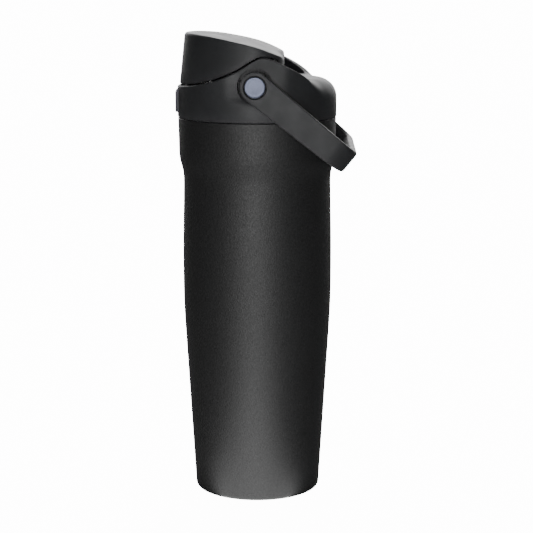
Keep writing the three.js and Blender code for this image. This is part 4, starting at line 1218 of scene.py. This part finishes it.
def build_floor():
    """A pale floor that throws little light back at the flask."""
    half = 14000
    floor = prism("studio_floor", [(-half, -half), (half, -half), (half, half), (-half, half)], -20, 0)
    pale = Finish("pale floor", (0.9, 0.9, 0.9), 0.7, specular=0.1)
    pale.blend_colour(pale.remap(pale.noise(3, 3), 0.3, 0.7, 0, 1), (0.89, 0.89, 0.89), (0.92, 0.92, 0.92))
    pale.shader.inputs["Emission Color"].default_value = (1, 1, 1, 1)
    backdrop = bpy.context.scene.flask_studio.backdrop
    pale.shader.inputs["Emission Strength"].default_value = backdrop * FLOOR_SHARE
    nodes, links = pale.nodes, pale.links
    dull = nodes.new("ShaderNodeBsdfDiffuse")
    dull.inputs["Color"].default_value = (0.15, 0.15, 0.15, 1)
    switch = nodes.new("ShaderNodeMixShader")
    links.new(nodes.new("ShaderNodeLightPath").outputs["Is Camera Ray"], switch.inputs["Fac"])
    links.new(dull.outputs["BSDF"], switch.inputs[1])
    links.new(pale.shader.outputs["BSDF"], switch.inputs[2])
    links.new(switch.outputs["Shader"], nodes["Material Output"].inputs["Surface"])
    floor.data.materials.append(pale.material)


def build_studio():
    """Pale floor, plain white surroundings, lights in front and the camera."""
    studio = bpy.context.scene.flask_studio
    build_floor()
    build_surroundings(studio)
    middle = (0, 0, CAD_BOX[1][2] / 2)
    area_light("front softbox", (-0.09, -1.5, 0.1), middle, (0.6, 1.1), studio.front)
    area_light("floor glow", (-0.01, -0.36, 0.0004), (-0.01, -0.36, 1), (0.11, 0.66), studio.glow)
    add_camera(studio)


def add_camera(studio):
    """The camera, a little to the right of the flask and slightly above it, looking down."""
    turn = math.radians(studio.turn)
    distance = studio.distance
    aside = studio.aside
    data = bpy.data.cameras.new("camera")
    data.lens = studio.lens
    data.sensor_width = 36
    data.clip_end = 60
    camera = bpy.data.objects.new("camera", data)
    camera.location = (distance * math.sin(turn) + aside * math.cos(turn),
                       -distance * math.cos(turn) + aside * math.sin(turn), studio.height)
    camera.rotation_euler = (math.radians(90 - studio.pitch), 0, turn)
    bpy.context.scene.collection.objects.link(camera)
    bpy.context.scene.camera = camera


# ---------------------------------------------------------------- add-on
def colour(name, description, default):
    """A colour property."""
    return bpy.props.FloatVectorProperty(name=name, description=description, subtype="COLOR",
                                         size=3, min=0, max=1, default=default)


def number(name, description, default, **facts):
    """A number property."""
    return bpy.props.FloatProperty(name=name, description=description, default=default, **facts)


class FlaskColours(bpy.types.PropertyGroup):
    """Colours of the flask's finishes."""

    coat: colour("Powder coat", "Colour of the coated steel body", (0.007, 0.0071, 0.0073))
    plastic: colour("Lid plastic", "Colour of the collar and the flip cap", (0.018, 0.0185, 0.02))
    handle: colour("Handle plastic", "Colour of the carry handle", (0.02, 0.0205, 0.022))
    button: colour("Button plastic", "Colour of the release button", (0.03, 0.03, 0.037))
    steel: colour("Steel", "Colour of the bare steel pieces", (0.56, 0.57, 0.58))
    disc: colour("Pivot disc", "Colour of the discs on the handle's pivots", (0.052, 0.057, 0.078))
    silicone: colour("Silicone", "Colour of the seals", (0.11, 0.115, 0.125))


class FlaskStudio(bpy.types.PropertyGroup):
    """Camera place and light strengths."""

    distance: number("Distance", "Camera distance along the floor", 1.0, unit="LENGTH")
    height: number("Height", "Camera height above the floor", 0.3176, unit="LENGTH")
    aside: number("Aside", "Camera offset to the right", 0.00544, unit="LENGTH", precision=4)
    turn: number("Turn", "Camera's turn about the flask, in degrees", 1.15)
    pitch: number("Pitch", "How far the camera looks down, in degrees", 10.46)
    lens: number("Lens", "Focal length in millimetres", 116.5)
    fill: number("Fill", "Strength of the even light all round", 0.05, min=0)
    front: number("Front softbox", "Power of the softbox in front", 28, min=0)
    glow: number("Floor glow", "Power of the light that the floor sends up in front", 0.75, min=0)
    back: number("Back light", "Strength of the light from behind", 5, min=0)
    top: number("Top light", "Strength of the light from above", 0.9, min=0)
    backdrop: number("Backdrop", "Brightness of surroundings and floor to the camera", 16, min=0)


class FLASK_OT_bottle(bpy.types.Operator):
    """Build the coated body, the steel vessel inside it and the base"""

    bl_idname = "flask.bottle"
    bl_label = "Bottle"

    def execute(self, context):
        build_shell()
        build_vessel()
        build_base()
        return {"FINISHED"}


class FLASK_OT_collar(bpy.types.Operator):
    """Build the screw collar with its ears and rear deck"""

    bl_idname = "flask.collar"
    bl_label = "Screw collar"

    def execute(self, context):
        build_collar()
        return {"FINISHED"}


class FLASK_OT_core(bpy.types.Operator):
    """Build the lid's inner disc, gasket, spout and vent"""

    bl_idname = "flask.core"
    bl_label = "Lid core and spout"

    def execute(self, context):
        build_core()
        return {"FINISHED"}


class FLASK_OT_cap(bpy.types.Operator):
    """Build the flip cap's shell, inner plate and stopper"""

    bl_idname = "flask.cap"
    bl_label = "Flip cap"

    def execute(self, context):
        build_cap()
        build_liner()
        return {"FINISHED"}


class FLASK_OT_hinge(bpy.types.Operator):
    """Build the flip cap's pin and spring"""

    bl_idname = "flask.hinge"
    bl_label = "Cap hinge"

    def execute(self, context):
        build_hinge()
        return {"FINISHED"}


class FLASK_OT_latch(bpy.types.Operator):
    """Build the release button, latch plate and spring"""

    bl_idname = "flask.latch"
    bl_label = "Button and latch"

    def execute(self, context):
        build_latch()
        return {"FINISHED"}


class FLASK_OT_handle(bpy.types.Operator):
    """Build the carry handle"""

    bl_idname = "flask.handle"
    bl_label = "Carry handle"

    def execute(self, context):
        build_handle()
        return {"FINISHED"}


class FLASK_OT_pivots(bpy.types.Operator):
    """Build the handle's bushings, screws and discs"""

    bl_idname = "flask.pivots"
    bl_label = "Handle pivots"

    def execute(self, context):
        build_pivots()
        return {"FINISHED"}


class FLASK_OT_studio(bpy.types.Operator):
    """Build the floor, the lights and the camera"""

    bl_idname = "flask.studio"
    bl_label = "Studio"

    def execute(self, context):
        build_studio()
        return {"FINISHED"}


STEPS = (FLASK_OT_studio, FLASK_OT_bottle, FLASK_OT_collar, FLASK_OT_core, FLASK_OT_cap,
         FLASK_OT_hinge, FLASK_OT_latch, FLASK_OT_handle, FLASK_OT_pivots)


class FLASK_PT_panel(bpy.types.Panel):
    """Lists the flask's pieces, colours and studio settings"""

    bl_idname = "FLASK_PT_panel"
    bl_label = "Insulated flask"
    bl_space_type = "VIEW_3D"
    bl_region_type = "UI"
    bl_category = "Flask"

    def draw(self, context):
        layout = self.layout
        for group in (context.scene.flask_colours, context.scene.flask_studio):
            for name in group.__annotations__:
                layout.prop(group, name)
        for step in STEPS:
            layout.operator(step.bl_idname)


CLASSES = (FlaskColours, FlaskStudio, *STEPS, FLASK_PT_panel)


def register():
    """Registers the classes and their scene properties."""
    for cls in CLASSES:
        bpy.utils.register_class(cls)
    bpy.types.Scene.flask_colours = bpy.props.PointerProperty(type=FlaskColours)
    bpy.types.Scene.flask_studio = bpy.props.PointerProperty(type=FlaskStudio)


def unregister():
    """Removes the scene properties and the classes."""
    del bpy.types.Scene.flask_studio
    del bpy.types.Scene.flask_colours
    for cls in reversed(CLASSES):
        bpy.utils.unregister_class(cls)


def main():
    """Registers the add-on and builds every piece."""
    register()
    for step in STEPS:
        group, name = step.bl_idname.split(".")
        getattr(getattr(bpy.ops, group), name)()


if __name__ == "__main__":
    main()
